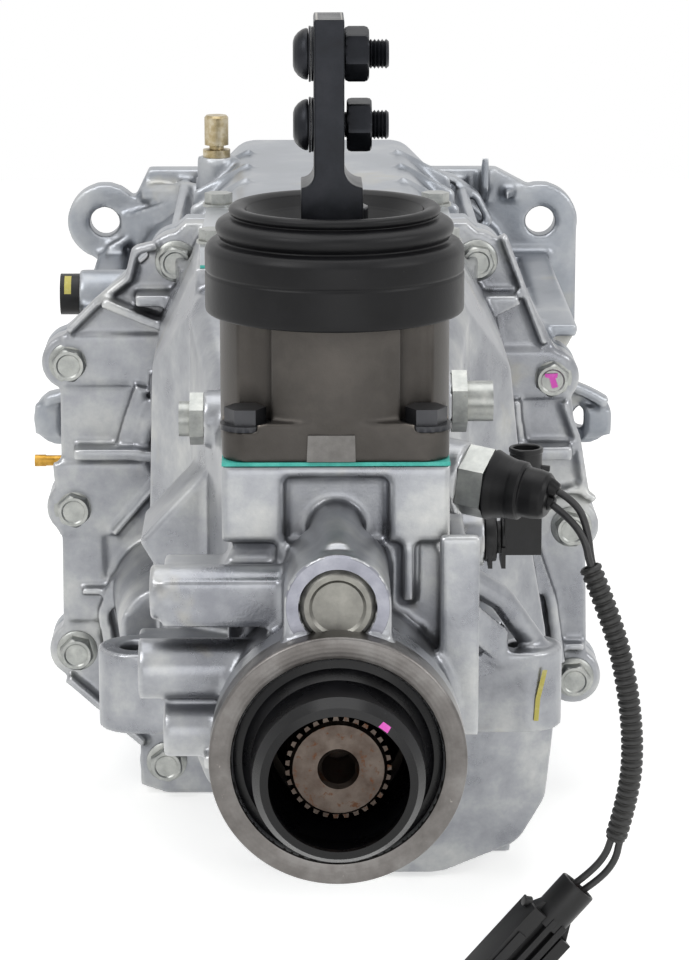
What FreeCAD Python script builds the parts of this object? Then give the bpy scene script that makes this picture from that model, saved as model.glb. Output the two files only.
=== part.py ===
import FreeCAD, Part
import math
import os
import re
import Sketcher
from FreeCAD import Placement, Rotation, Vector

# Five-speed manual gearbox for rear-wheel drive, with a short remote lever on its tail.
# Frame in millimetres: +Y points forward to the engine along the main shaft, +X to the right
# seen from the tail, +Z up. The origin is the centre of the front mounting face.

doc = FreeCAD.newDocument("Gearbox")
sheet = doc.addObject("Spreadsheet::Sheet", "Sizes")

sizes = {
    # castings
    "case_length": 205, "front_plate": 14, "flange_thick": 14, "wall": 6, "base_drop": 146,
    "case_half_width": 100, "flange_half_width": 110, "roof_height": 108, "dome_height": 114,
    "dome_half_width": 38, "chamber_end": 327, "root_end": 362, "tail_length": 620,
    "tail_radius": 39, "rim_radius": 41, "rim_depth": 26, "rim_bore": 33.6, "tunnel_radius": 27,
    "ear_spacing": 211, "ear_height": 75.5, "ear_hole": 7.15, "ear_radius": 18,
    "lug_spacing": 258, "lug_height": -22, "lug_hole": 6.5, "lug_radius": 13,
    "wing_spacing": 151, "wing_place": 372, "wing_top": -33, "wing_thick": 32, "wing_hole": 6.5,
    "wing_radius": 15,
    # case bolts
    "bolt_shank": 4, "bolt_clearance": 0.3, "bolt_flats": 13, "bolt_head": 8,
    "bolt_washer": 9, "bolt_washer_thick": 2, "bolt_grip": 24, "boss_radius": 12,
    # gear train
    "tooth_module": 3.4, "tooth_sum": 50, "input_teeth": 21, "third_teeth": 24,
    "second_teeth": 29, "first_teeth": 34, "fifth_teeth": 19, "reverse_teeth": 31,
    "reverse_pinion_teeth": 13, "idler_teeth": 15, "counter_offset": 28, "gear_width": 16,
    "dog_radius": 37, "dog_width": 8, "hub_width": 20, "hub_radius": 38, "sleeve_radius": 46,
    "sleeve_width": 18, "groove_width": 8.6, "groove_depth": 5, "shift_travel": 10.5,
    "synchro_reach": 22, "input_gear_place": 34, "shaft_radius": 19, "counter_radius": 16,
    "idler_pin_radius": 8, "running_gap": 0.05, "part_gap": 0.3,
    # bearings
    "bearing_width": 16, "bearing_outer": 40, "bearing_inner": 27, "counter_bearing_outer": 31,
    "counter_bearing_inner": 22, "ring_gap": 0.4,
    # input side
    "register_radius": 62.3, "retainer_thick": 8, "quill_radius": 17.5, "quill_length": 78,
    "input_radius": 14.2, "input_reach": 172, "pilot_radius": 8.4, "pilot_length": 18,
    "input_splines": 10, "spline_length": 62,
    # output side
    "output_end": 627, "output_splines": 31, "output_spline_radius": 16.85,
    "output_spline_depth": 1.3, "output_spline_length": 130, "center_hole": 5.4,
    "bushing_radius": 21.45, "bushing_wall": 3, "bushing_length": 30, "bushing_place": 556,
    "seal_reach": 22, "seal_lip": 22.2, "seal_neck": 27.2,
    # tower and lever
    "tower_place": 528, "tower_base": 84, "pad_bottom": 58, "tower_flange": 13, "tower_half_x": 37.5,
    "tower_half_y": 38, "tower_radius": 38.5, "tower_top": 137, "tower_bore": 30,
    "gasket_thick": 1.2, "tower_bolt_spread": 59.5, "tower_bolt_shank": 4,
    "pivot_height": 116, "rail_height": 48.7, "rail_radius": 8, "rail_plug_radius": 12.1,
    "rail_boss_radius": 17.25, "socket_reach": 14, "rail_front": 330,
    "yoke_half_x": 21, "yoke_half_y": 17, "yoke_half_z": 9, "yoke_pin": 5, "lever_pin_radius": 4,
    "lever_top": 227, "blade_thick": 10.1, "blade_depth": 25, "blade_root": 172,
    "stud_radius": 11.2, "stud_base": 146, "shank_radius": 8, "ball_radius": 5.6,
    "upper_bolt": 214.6, "lower_bolt": 191.2, "lever_bolt_shank": 5, "button_radius": 8.5,
    "button_height": 5.2, "lever_nut_flats": 16, "lever_nut_height": 8.4, "lever_washer": 9,
    "lever_washer_thick": 1.6, "lever_bolt_reach": 18, "blade_shift": -1.9,
    # selector inside
    "rod_height": 88, "rod_spacing": 13.5, "rod_radius": 5, "rod_front": 14, "block_place": 347,
    "block_half_x": 5.5, "block_half_y": 12, "block_bottom": 67, "finger_width": 10,
    "finger_reach": 31.3, "collar_place": 440,
    # top plate
    "plate_thick": 7, "plate_front": 236, "plate_rear": 352, "plate_half_width": 52,
    # boot
    "boot_skirt_radius": 43.5, "boot_bottom": 129, "boot_step": 143, "boot_ring": 39.4,
    "boot_crown": 35, "boot_top": 166, "boot_throat": 11.8, "boot_wall": 3,
    # electrics and plugs
    "loom_radius": 3.9, "wire_radius": 1.3, "switch_flats": 22, "switch_height": 63,
    "switch_place": 497, "switch_yaw": 22, "switch_dip": 7,
    "sensor_place": 400, "sensor_height": 17, "plug_flats": 17, "detent_height": 78.5,
    "breather_height": 114, "side_plug_height": 63.4,
}

for row, (name, number) in enumerate(sizes.items(), start=1):
    sheet.set(f"A{row}", str(number))
    sheet.setAlias(f"A{row}", name)
doc.recompute()

names_in_text = re.compile(r"\b(" + "|".join(sorted(sizes, key=len, reverse=True)) + r")\b")


def formula(text):
    """The text with each size named as a cell of the sheet."""
    return names_in_text.sub(r"Sizes.\1", str(text))


def value(text):
    """The number that a formula gives."""
    return float(sheet.evalExpression(formula(text)))


def bind(item, **formulas):
    """Tie properties of an object to formulas of the sheet."""
    for name, text in formulas.items():
        item.setExpression(name.replace("__", "."), formula(text))
    return item


def place(item, x="0", y="0", z="0", turn=None):
    """Put an object at a bound place, turned by a fixed rotation."""
    if turn is not None:
        item.Placement = Placement(Vector(), turn)
    return bind(item, Placement__Base__x=x, Placement__Base__y=y, Placement__Base__z=z)


along = {
    "+Z": Rotation(),
    "-Z": Rotation(Vector(1, 0, 0), 180),
    "+Y": Rotation(Vector(1, 0, 0), -90),
    "-Y": Rotation(Vector(1, 0, 0), 90),
    "+X": Rotation(Vector(0, 1, 0), 90),
    "-X": Rotation(Vector(0, 1, 0), -90),
}
serial = iter(range(1, 10000))


def cylinder(radius, length, x="0", y="0", z="0", way="-Y", name=None):
    item = doc.addObject("Part::Cylinder", name or f"round_{next(serial)}")
    bind(item, Radius=radius, Height=length)
    return place(item, x, y, z, along[way])


def cone(radius, end_radius, length, x="0", y="0", z="0", way="-Y"):
    item = doc.addObject("Part::Cone", f"cone_{next(serial)}")
    bind(item, Radius1=radius, Radius2=end_radius, Height=length)
    return place(item, x, y, z, along[way])


def block(x, y, z, to_x, to_y, to_z, name=None):
    """A box between two corners, each given as formulas."""
    item = doc.addObject("Part::Box", name or f"block_{next(serial)}")
    bind(item, Length=f"({to_x}) - ({x})", Width=f"({to_y}) - ({y})", Height=f"({to_z}) - ({z})")
    return place(item, x, y, z)


def prism(sides, flats, length, x="0", y="0", z="0", way="-Y"):
    item = doc.addObject("Part::Prism", f"prism_{next(serial)}")
    item.Polygon = sides
    bind(item, Circumradius=f"({flats}) / 2 / cos(180 / {sides})", Height=length)
    return place(item, x, y, z, along[way])


def joined(name, *items):
    if len(items) == 1:
        return items[0]
    item = doc.addObject("Part::MultiFuse", name)
    item.Shapes = list(items)
    item.Refine = True
    return item


def cut(name, base, *tools):
    item = doc.addObject("Part::Cut", name)
    item.Base = base
    item.Tool = joined(f"{name}_tools", *tools)
    return item


def group(name, *items):
    """Separate solids kept together as one sub-part."""
    item = doc.addObject("Part::Compound", name)
    item.Links = list(items)
    return item


def sketch_on(body, role, name, offset="0"):
    sketch = body.newObject("Sketcher::SketchObject", name)
    plane = [f for f in body.Origin.OriginFeatures if f.Role == role][0]
    sketch.AttachmentSupport = [(plane, "")]
    sketch.MapMode = "FlatFace"
    bind(sketch, AttachmentOffset__Base__z=offset)
    return sketch


def draw_outline(sketch, corners):
    """A closed outline whose corners are bound to formulas."""
    spots = [(value(a), value(b)) for a, b in corners]
    first = sketch.GeometryCount
    count = len(spots)
    for i, spot in enumerate(spots):
        following = spots[(i + 1) % count]
        sketch.addGeometry(Part.LineSegment(Vector(*spot, 0), Vector(*following, 0)), False)
    for i in range(count):
        sketch.addConstraint(
            Sketcher.Constraint("Coincident", first + i, 2, first + (i + 1) % count, 1))
    for i, (a, b) in enumerate(corners):
        for kind, text, number in (("DistanceX", a, spots[i][0]), ("DistanceY", b, spots[i][1])):
            k = sketch.addConstraint(Sketcher.Constraint(kind, -1, 1, first + i, 1, number))
            sketch.setExpression(f"Constraints[{k}]", formula(text))


def draw_circle(sketch, x, z, radius):
    """A circle whose centre and radius are bound to formulas."""
    spot = Vector(value(x), value(z), 0)
    i = sketch.addGeometry(Part.Circle(spot, Vector(0, 0, 1), value(radius)), False)
    for kind, text, number in (("DistanceX", x, spot.x), ("DistanceY", z, spot.y)):
        k = sketch.addConstraint(Sketcher.Constraint(kind, -1, 1, i, 3, number))
        sketch.setExpression(f"Constraints[{k}]", formula(text))
    k = sketch.addConstraint(Sketcher.Constraint("Radius", i, value(radius)))
    sketch.setExpression(f"Constraints[{k}]", formula(radius))


def turned(name, profile, x="0", z="0"):
    """A piece turned about the shaft direction; profile gives (radius, place along Y)."""
    body = doc.addObject("PartDesign::Body", name)
    sketch = sketch_on(body, "XY_Plane", f"{name}_profile")
    draw_outline(sketch, profile)
    turn = body.newObject("PartDesign::Revolution", f"{name}_turn")
    turn.Profile = sketch
    turn.ReferenceAxis = (sketch, ["V_Axis"])
    turn.Angle = 360
    body.Tip = turn
    return place(body, x, "0", z)


def turned_up(name, profile, x="0", y="0"):
    """A piece turned about an upright axis; profile gives (radius, height)."""
    body = doc.addObject("PartDesign::Body", name)
    sketch = sketch_on(body, "XZ_Plane", f"{name}_profile")
    draw_outline(sketch, profile)
    turn = body.newObject("PartDesign::Revolution", f"{name}_turn")
    turn.Profile = sketch
    turn.ReferenceAxis = (sketch, ["V_Axis"])
    turn.Angle = 360
    body.Tip = turn
    return place(body, x, y, "0")


def plate(name, outline, y, thick, circles=(), holes=()):
    """A plate square to the shaft: an outline, round bosses on it, and holes through it."""
    body = doc.addObject("PartDesign::Body", name)
    sketch = sketch_on(body, "XZ_Plane", f"{name}_outline", f"-({y})")
    draw_outline(sketch, outline)
    pad = body.newObject("PartDesign::Pad", f"{name}_pad")
    pad.Profile = sketch
    bind(pad, Length=thick)
    for i, (x, z, radius) in enumerate(circles):
        ring = sketch_on(body, "XZ_Plane", f"{name}_boss_{i}", f"-({y})")
        draw_circle(ring, x, z, radius)
        pad = body.newObject("PartDesign::Pad", f"{name}_boss_pad_{i}")
        pad.Profile = ring
        bind(pad, Length=thick)
    if holes:
        bores = sketch_on(body, "XZ_Plane", f"{name}_holes", f"-({y})")
        for x, z, radius in holes:
            draw_circle(bores, x, z, radius)
        pad = body.newObject("PartDesign::Pocket", f"{name}_bores")
        pad.Profile = bores
        pad.Reversed = True
        bind(pad, Length=thick)
    body.Tip = pad
    return body


def rounded_wire(corners, y, radius):
    """A closed wire across the shaft with every corner rounded by an arc, or sharp at radius 0."""
    spots = [Vector(value(a), value(y), value(b)) for a, b in corners]
    if radius == 0:
        return Part.makePolygon(spots + spots[:1])
    count = len(spots)
    ends = []
    for i, spot in enumerate(spots):
        before, after = spots[i - 1] - spot, spots[(i + 1) % count] - spot
        half = before.getAngle(after) / 2
        straight = half > math.radians(89)
        reach = min(1 if straight else radius / math.tan(half), before.Length * 0.45,
                    after.Length * 0.45)
        start, end = spot + before * (reach / before.Length), spot + after * (reach / after.Length)
        if straight:
            ends.append((start, end, None))
            continue
        bow = reach * math.tan(half)
        middle = (before / before.Length + after / after.Length).normalize()
        ends.append((start, end, spot + middle * (bow / math.sin(half) - bow)))
    edges = []
    for i, (start, end, top) in enumerate(ends):
        curve = Part.Arc(start, top, end) if top else Part.LineSegment(start, end)
        edges.append(curve.toShape())
        edges.append(Part.LineSegment(end, ends[(i + 1) % count][0]).toShape())
    return Part.Wire(edges)


def skin(name, *sections):
    """A casting's body lofted through rounded sections: (corners, place along Y, radius)."""
    item = doc.addObject("Part::Feature", name)
    item.Shape = Part.makeLoft([rounded_wire(*section) for section in sections], True, True)
    return item


def hex_bolt(name, x, y, z, length, shank, flats, head, washer, washer_thick, way="+Y"):
    """A flanged hexagon bolt whose washer seats at the given place, its shank along way."""
    back = {"+Y": "-Y", "-Z": "+Z", "-Y": "+Y"}[way]
    parts = [cylinder(shank, length, x, y, z, way),
             cylinder(washer, washer_thick, x, y, z, back),
             prism(6, flats, head, x, y, z, back)]
    return joined(name, *parts)


# Gear geometry
centre_distance = "(tooth_module * tooth_sum / 2)"
counter_x = "counter_offset"
counter_z = f"(-sqrt({centre_distance} ^ 2 - counter_offset ^ 2))"


def pitch_radius(teeth):
    return value(f"tooth_module * ({teeth}) / 2")


def idler_centre():
    """The reverse idler's centre, left of the countershaft, in mesh with both its gears."""
    x, z = value(counter_x), value(counter_z)
    to_main = pitch_radius("reverse_teeth") + pitch_radius("idler_teeth")
    to_pinion = pitch_radius("reverse_pinion_teeth") + pitch_radius("idler_teeth")
    apart = math.hypot(x, z)
    near = (to_main ** 2 - to_pinion ** 2 + apart ** 2) / (2 * apart)
    off = math.sqrt(to_main ** 2 - near ** 2)
    return (near * x + off * z) / apart, (near * z - off * x) / apart


def tip_radius(teeth):
    return f"(tooth_module * (({teeth}) / 2 + 0.9))"


def tooth_wire(count, root, tip, root_half, tip_half, phase, y):
    """The outline of a toothed wheel with straight flanks, across the shaft at y."""
    spots = []
    for i in range(count):
        middle = phase + 2 * math.pi * i / count
        for radius, angle in ((root, -root_half), (tip, -tip_half), (tip, tip_half), (root, root_half)):
            spots.append(Vector(radius * math.cos(middle + angle), y, radius * math.sin(middle + angle)))
    return Part.makePolygon(spots + spots[:1])


def gear_solid(teeth, y, width, phase):
    """A spur gear blank with teeth, standing on the shaft axis from y backwards."""
    module = value("tooth_module")
    radius = module * teeth / 2
    half = math.pi / teeth * 0.43
    slope = math.tan(math.radians(22))
    root, tip = radius - 1.15 * module, radius + 0.9 * module
    wire = tooth_wire(teeth, root, tip, half + 1.15 * module * slope / radius,
                      half - 0.9 * module * slope / radius, phase, y)
    return Part.Face(wire).extrude(Vector(0, -width, 0))


def ring_solid(radius, y, length, x=0, z=0):
    return Part.makeCylinder(radius, length, Vector(x, y, z), Vector(0, -1, 0))


def shape_item(name, shape, x=0, z=0):
    """A sub-part set from a shape, moved off the main shaft by x and z."""
    item = doc.addObject("Part::Feature", name)
    item.Shape = shape.removeSplitter() if len(shape.Solids) == 1 else shape
    item.Placement = Placement(Vector(x, 0, z), Rotation())
    return item


def meshed(phase, teeth, direction, other_teeth):
    """The phase of a second gear that meshes with the first across a line of centres."""
    step = 2 * math.pi / teeth
    offset = (phase - direction) % step
    return direction + math.pi - offset * teeth / other_teeth + math.pi / other_teeth


x_idler, z_idler = idler_centre()
idler_x, idler_z = str(round(x_idler, 4)), str(round(z_idler, 4))

# Main case
flange_spots = [(64, 92), (-64, 92), (96.5, 41), (-110, 48), (106, -25), (-109, -16),
                (108, -93), (-109, -80), (-70.5, -131), (70.5, -131)]
flange_outline = [
    ("60", "roof_height"), ("-60", "roof_height"), ("-78", "92"), ("-flange_half_width - 4", "58"),
    ("-flange_half_width - 5", "-88"), ("-94", "-103"), ("-82", "-114"), ("-82", "-base_drop + 4"),
    ("-70", "-base_drop"), ("70", "-base_drop"), ("82", "-base_drop + 4"), ("82", "-114"),
    ("94", "-106"), ("flange_half_width + 4", "-100"), ("flange_half_width + 2", "-20"),
    ("104", "42"), ("78", "92")]
flange_bosses = [(str(x), str(z), "boss_radius") for x, z in flange_spots]
flange_holes = [(str(x), str(z), "bolt_shank + bolt_clearance") for x, z in flange_spots]

half_ear = "ear_spacing / 2"
half_lug = "lug_spacing / 2"
front_outline = [
    ("84", "101"), ("-84", "101"), ("-104", "60"), ("-104", "lug_height + 30"),
    (f"-{half_lug} + 4", "lug_height + lug_radius - 2"), (f"-{half_lug} + 4", "lug_height - lug_radius + 2"),
    ("-104", "lug_height - 30"), ("-104", "-96"), ("-78", "-base_drop"), ("78", "-base_drop"),
    ("104", "-96"), ("104", "lug_height - 30"), (f"{half_lug} - 4", "lug_height - lug_radius + 2"),
    (f"{half_lug} - 4", "lug_height + lug_radius - 2"), ("112", "lug_height + 22"), ("123", "20"),
    ("123", "80")]
front_bosses = [(f"-{half_ear}", "ear_height", "ear_radius"), (half_ear, "ear_height", "ear_radius"),
                (f"-{half_lug}", "lug_height", "lug_radius"), (half_lug, "lug_height", "lug_radius")]
front_holes = [(f"-{half_ear}", "ear_height", "ear_hole"), (half_ear, "ear_height", "ear_hole"),
               (f"-{half_lug}", "lug_height", "lug_hole"), (half_lug, "lug_height", "lug_hole")]


def case_section(inset, y, radius, spread=1.0):
    """The main case's cross-section, drawn in by inset on every side."""
    half = f"case_half_width * {spread}"
    corners = [
        (f"dome_half_width - {inset} / 2", f"dome_height - {inset}"),
        (f"-dome_half_width + {inset} / 2", f"dome_height - {inset}"),
        (f"-58 + {inset} / 2", f"roof_height - 14 - {inset}"), (f"-{half} + 14 + {inset}", "72"),
        (f"-{half} + {inset}", "48"), (f"-{half} + {inset}", "-90"),
        (f"-{half} + 28 + {inset}", f"-base_drop + {inset} + 6"), ("-56", f"-base_drop + {inset}"),
        ("56", f"-base_drop + {inset}"), (f"{half} - 28 - {inset}", f"-base_drop + {inset} + 6"),
        (f"{half} - {inset}", "-90"), (f"{half} - {inset}", "48"), (f"{half} - 14 - {inset}", "72"),
        (f"58 - {inset} / 2", f"roof_height - 14 - {inset}")]
    return corners, y, radius


front_face = plate("front_face", front_outline, "0", "front_plate", front_bosses, front_holes)
split_face = plate("split_face", flange_outline, "-case_length + flange_thick", "flange_thick",
                   flange_bosses, flange_holes)
case_skin = skin("case_skin", case_section("0", "-2", 12, 0.97), case_section("0", "-case_length + 2", 12))
case_hollow = skin("case_hollow", case_section("wall", "-front_plate", 0, 0.97),
                   case_section("wall", "-case_length - 1", 0))
case_ribs = []
for side in (1, -1):
    for height in (58, 8, -52):
        outer = "(case_half_width + 9)"
        low, high = (f"{side} * (case_half_width - 5)", f"{side} * {outer}")[::side]
        case_ribs.append(block(low, "-case_length + 4", f"{height} - 2.5", high, "-4", f"{height} + 2.5"))
    case_ribs.append(block(f"{side} * 66 - 2.5", "-case_length + 4", "88", f"{side} * 66 + 2.5", "-4", "97"))
retainer_spots = [(f"{sx} * 44", f"{sz} * 22") for sx in (-1, 1) for sz in (-1, 1)]
shaft_bores = [
    cylinder("bearing_outer", "front_plate * 3", y="front_plate"),
    cylinder("counter_bearing_outer", "bearing_width", counter_x, "-4 + 0.1", counter_z)]
bearing_bosses = [
    cylinder("bearing_outer + wall", "bearing_width", y="-2"),
    cylinder("counter_bearing_outer + wall", "bearing_width", counter_x, "-2", counter_z)]
main_case = cut(
    "main_case",
    joined("case_with_bosses",
           cut("case_walls", joined("case_outside", front_face, split_face, case_skin, *case_ribs),
               case_hollow),
           *bearing_bosses,
           block("-rod_spacing - 11", "-front_plate - 16", "rod_height - 11", "rod_spacing + 11", "-2",
                 "rod_height + 10"),
           cylinder("9", "breather_height - 88", "-50", "-60", "88", "+Z"),
           cylinder("11", "22", "-case_half_width - 10", "-140", "side_plug_height", "+X"),
           cylinder("6", "18", "-case_half_width - 12", "-150", "-11", "+X")),
    *shaft_bores,
    *[cylinder("rod_radius + running_gap", "60", f"{spot} * rod_spacing", "-rod_front + shift_travel + 1",
               "rod_height") for spot in (-1, 0, 1)],
    cylinder("5", "60", "-50", "-60", "70", "+Z"), cylinder("9.3", "20", "-50", "-60", "breather_height", "+Z"),
    cylinder("7", "40", "-case_half_width - 12", "-140", "side_plug_height", "+X"),
    cylinder("2.42", "14", "-case_half_width - 13", "-150", "-11", "+X"),
    *[cylinder("bolt_shank + bolt_clearance", "bolt_grip - flange_thick + 1", x, "-case_length - 0.5", z, "+Y")
      for x, z, _ in flange_bosses],
    *[cylinder("3.3", "14", x, "1", z) for x, z in retainer_spots])

# Direction of the reverse lamp switch, set at an angle towards the tail
switch_way = Rotation(Vector(0, 0, 1), -value("switch_yaw")) * Rotation(Vector(0, 1, 0), 90 + value("switch_dip"))
along["switch"] = switch_way


def from_switch(reach):
    """The place on the switch's axis at a distance from its seat."""
    level = f"({reach}) * cos(switch_dip)"
    return (f"46.3 + {level} * cos(switch_yaw)", f"-switch_place - {level} * sin(switch_yaw)",
            f"switch_height - ({reach}) * sin(switch_dip)")


# Rear case: a gear chamber bulged out round the countershaft, drawn in to the tail
bulge = f"({tip_radius('tooth_sum - fifth_teeth')} + wall + 4)"


def chamber_section(inset, y, radius, shrink="1"):
    bulge_right = f"counter_offset + {bulge} * {shrink} - {inset}"
    drop = f"-base_drop + {inset}"
    corners = [
        (f"52 - {inset} / 2", f"roof_height - {inset}"), (f"-52 + {inset} / 2", f"roof_height - {inset}"),
        (f"-70 + {inset}", "70"), (f"-72 + {inset}", "0"), (f"-66 + {inset}", "-60"),
        (f"-50 + {inset}", "-104"), ("-24", f"{drop} + 14"), ("4", f"{drop} + 2"),
        ("46", f"{drop} + 2"), (f"{bulge_right} - 14", f"{drop} + 15"),
        (f"{bulge_right} - 3", "-112"), (bulge_right, "-82"), (f"{bulge_right} - 4", "-40"),
        (f"78 - {inset}", "12"), (f"72 - {inset}", "68")]
    return corners, y, radius


def tail_section(inset, y, radius, half, top, bottom, low_half):
    """A section of the tail with the chamber's number of corners."""
    corners = [
        (f"{half} - 4", f"{top} - {inset}"), (f"-{half} + 4", f"{top} - {inset}"),
        (f"-{half} + {inset}", f"{top} - {inset} - 8"), (f"-{half} + {inset}", "18"),
        (f"-{half} + {inset}", "2"), (f"-{low_half} - 6 + {inset}", f"{bottom} + 16"),
        (f"-{low_half} + {inset}", f"{bottom} + {inset} + 5"), (f"-{low_half} + 8", f"{bottom} + {inset}"),
        (f"{low_half} - 8", f"{bottom} + {inset}"), (f"{low_half} - {inset}", f"{bottom} + {inset} + 5"),
        (f"{low_half} + 6 - {inset}", f"{bottom} + 16"), (f"{half} - {inset}", "2"),
        (f"{half} - {inset}", "10"), (f"{half} - {inset}", "22"),
        (f"{half} - {inset}", f"{top} - {inset} - 8")]
    return corners, y, radius


flange_back = "(-case_length - flange_thick)"
rear_flange = plate("rear_flange", flange_outline, "-case_length", "flange_thick",
                    flange_bosses, flange_holes)
root_shape = ("54", "104", "-46", "30")
neck_shape = ("36", "60", "-38", "18")
rear_skin = skin(
    "rear_skin", chamber_section("0", f"{flange_back} + 2", 12), chamber_section("0", "-chamber_end", 14, "0.96"),
    tail_section("0", "-root_end", 9, *root_shape), tail_section("0", "-tower_place + 44", 5, *neck_shape),
    tail_section("0", "-tower_place - 34", 5, *neck_shape))
chamber_hollow = skin(
    "chamber_hollow", chamber_section("wall", f"{flange_back} - 2", 0),
    chamber_section("wall", "-chamber_end + wall", 0, "0.96"))
selector_hollow = skin(
    "selector_hollow", tail_section("wall", "-chamber_end + 20", 0, "52", "105", "-30", "22"),
    tail_section("wall", "-root_end - 14", 0, "48", "102", "-30", "20"),
    tail_section("wall", "-tower_place + 60", 0, "32", "66", "-30", "18"))
tower_pad = block("-tower_half_x", "-tower_place - tower_half_y", "pad_bottom", "tower_half_x",
                  "-tower_place + tower_half_y + 4", "tower_base")
pad_recess = block("-17", "-tower_place - tower_half_y - 1", "pad_bottom - 1", "17.5",
                   "-tower_place - tower_half_y + 6", "tower_base - 4")
tower_well = block("-23", "-tower_place - 27", "30", "23", "-tower_place + 27", "tower_base + 1")
chamber_foot = block("52", "-chamber_end + 30", "-base_drop", "76", "-chamber_end + 70", "-base_drop + 26")
wings = []
for side in (1, -1):
    near, far = (f"{side} * 15", f"{side} * (wing_spacing / 2)")[::side]
    wings += [
        block(near, "-wing_place - wing_radius", "wing_top - wing_thick", far, "-wing_place + wing_radius + 10",
              "wing_top"),
        cylinder("wing_radius", "wing_thick", f"{side} * wing_spacing / 2", "-wing_place", "wing_top", "-Z")]
wing_bores = [cylinder("wing_hole", "wing_thick + 2", f"{side} * wing_spacing / 2", "-wing_place",
                       "wing_top + 1", "-Z") for side in (1, -1)]
side_bosses = [
    cylinder("9", "46", "-61", "-tower_place - 47", "44", "+X"),
    cylinder("10", "40", "-65", "-tower_place - 47", "18", "+X"),
    cylinder("9", "24", "-57", "-tower_place - 47", "-3", "+X"),
    block("-57", "-tower_place - 56", "34", "-16", "-tower_place - 20", "50")]
tail_webs = [
    block("34", "-tower_place - 46", "-6", "47", "-tower_place - 41", "62"),
    block("41", "-tower_place - 46", "-6", "47", "-root_end", "40")]
rail_boss_end = "(-tail_length + 8)"
tail_tube = [
    cylinder("tail_radius", "tail_length - tower_place", y="-tower_place"),
    cylinder("rim_radius", "rim_depth", y="-tail_length + rim_depth"),
    cylinder("rail_boss_radius", f"-tower_place - {rail_boss_end}", "0", "-tower_place", "rail_height"),
    block("-rail_boss_radius", "-tail_length + 8", "0", "rail_boss_radius", "-tower_place", "rail_height")]
plugs_seats = [
    cylinder("11", "7.4", "36", "-440", "detent_height", "+X"), cylinder("10.5", "11", "-36", "-430", "70", "-X"),
    cylinder("13", "22", *from_switch("-22"), "switch"),
    cylinder("11", "26", "32", "-sensor_place", "sensor_height", "+X")]
rear_case = cut(
    "rear_case",
    joined("rear_with_bosses",
           cut("rear_walls",
               joined("rear_outside", rear_flange, rear_skin, tower_pad, *wings, *side_bosses,
                      *tail_webs, *tail_tube, *plugs_seats, chamber_foot,
                      block("-plate_half_width", "-plate_rear", "roof_height - 12", "plate_half_width",
                            "-plate_front", "roof_height + 4")),
               chamber_hollow, selector_hollow),
           cylinder("bearing_outer + wall", "bearing_width + 2", y="-case_length"),
           cylinder("counter_bearing_outer + wall", "bearing_width + 2", counter_x, "-case_length", counter_z),
           cylinder("counter_bearing_outer + wall", "bearing_width", counter_x,
                    "-chamber_end + wall + bearing_width", counter_z),
           cylinder("idler_pin_radius + wall", "bearing_width", idler_x, "-case_length", idler_z)),
    cylinder("bearing_outer", "bearing_width + 6", y="-case_length + 1"),
    cylinder("counter_bearing_outer", "bearing_width + 6", counter_x, "-case_length + 1", counter_z),
    cylinder("counter_bearing_outer", "bearing_width + 0.1", counter_x,
             "-chamber_end + wall + bearing_width + 0.1", counter_z),
    cylinder("idler_pin_radius", "bearing_width + 2", idler_x, "-case_length + 1", idler_z),
    cylinder("tunnel_radius", "bushing_place - chamber_end + 2", y="-chamber_end + 2"),
    cylinder("bushing_radius + bushing_wall", "80", y="-bushing_place"),
    cylinder("rim_bore", "rim_depth", y="-tail_length + rim_depth - 4"),
    cylinder("rail_radius + running_gap", "300", "0", "-rail_front - 12", "rail_height"),
    cylinder("rail_plug_radius", "20", "0", f"{rail_boss_end} + 8", "rail_height"),
    tower_well, pad_recess,
    block("-38", "-plate_rear + 12", "90", "38", "-plate_front - 12", "roof_height + 5"),
    *[cylinder("3.3", "30", f"{sx} * (plate_half_width - 7)", y, "roof_height - 6", "+Z")
      for sx in (-1, 1) for y in ("-plate_front - 12", "-plate_rear + 12")],
    *[cylinder("rod_radius + running_gap", "40", f"{spot} * rod_spacing", "-case_length + 10", "rod_height")
      for spot in (-1, 0, 1)],
    *wing_bores,
    *[cylinder("bolt_washer + 0.3", "bolt_head + 6", x, flange_back, z) for x, z, _ in flange_bosses
      if abs(value(x)) < 80],
    *[cylinder("bolt_shank + bolt_clearance", "flange_thick + 2", x, "-case_length + 1", z)
      for x, z, _ in flange_bosses],
    cylinder("8.2", "24", "32", "-440", "detent_height", "+X"), cylinder("8.2", "24", "-32", "-430", "70", "-X"),
    cylinder("8.2", "40", *from_switch("-26"), "switch"), cylinder("13.5", "14", *from_switch("0"), "switch"),
    cylinder("8.2", "30", "30", "-sensor_place", "sensor_height", "+X"),
    *[cylinder("tower_bolt_shank", "22", f"{sx} * tower_bolt_spread / 2",
               f"-tower_place + {sy} * tower_bolt_spread / 2", "tower_base + 1", "-Z")
      for sx in (-1, 1) for sy in (-1, 1)])

# Case bolts, heads towards the tail
case_bolts = group("case_bolts", *[
    hex_bolt(f"case_bolt_{i}", str(x), flange_back, str(z), "bolt_grip", "bolt_shank", "bolt_flats",
             "bolt_head", "bolt_washer", "bolt_washer_thick")
    for i, (x, z) in enumerate(flange_spots)])

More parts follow.
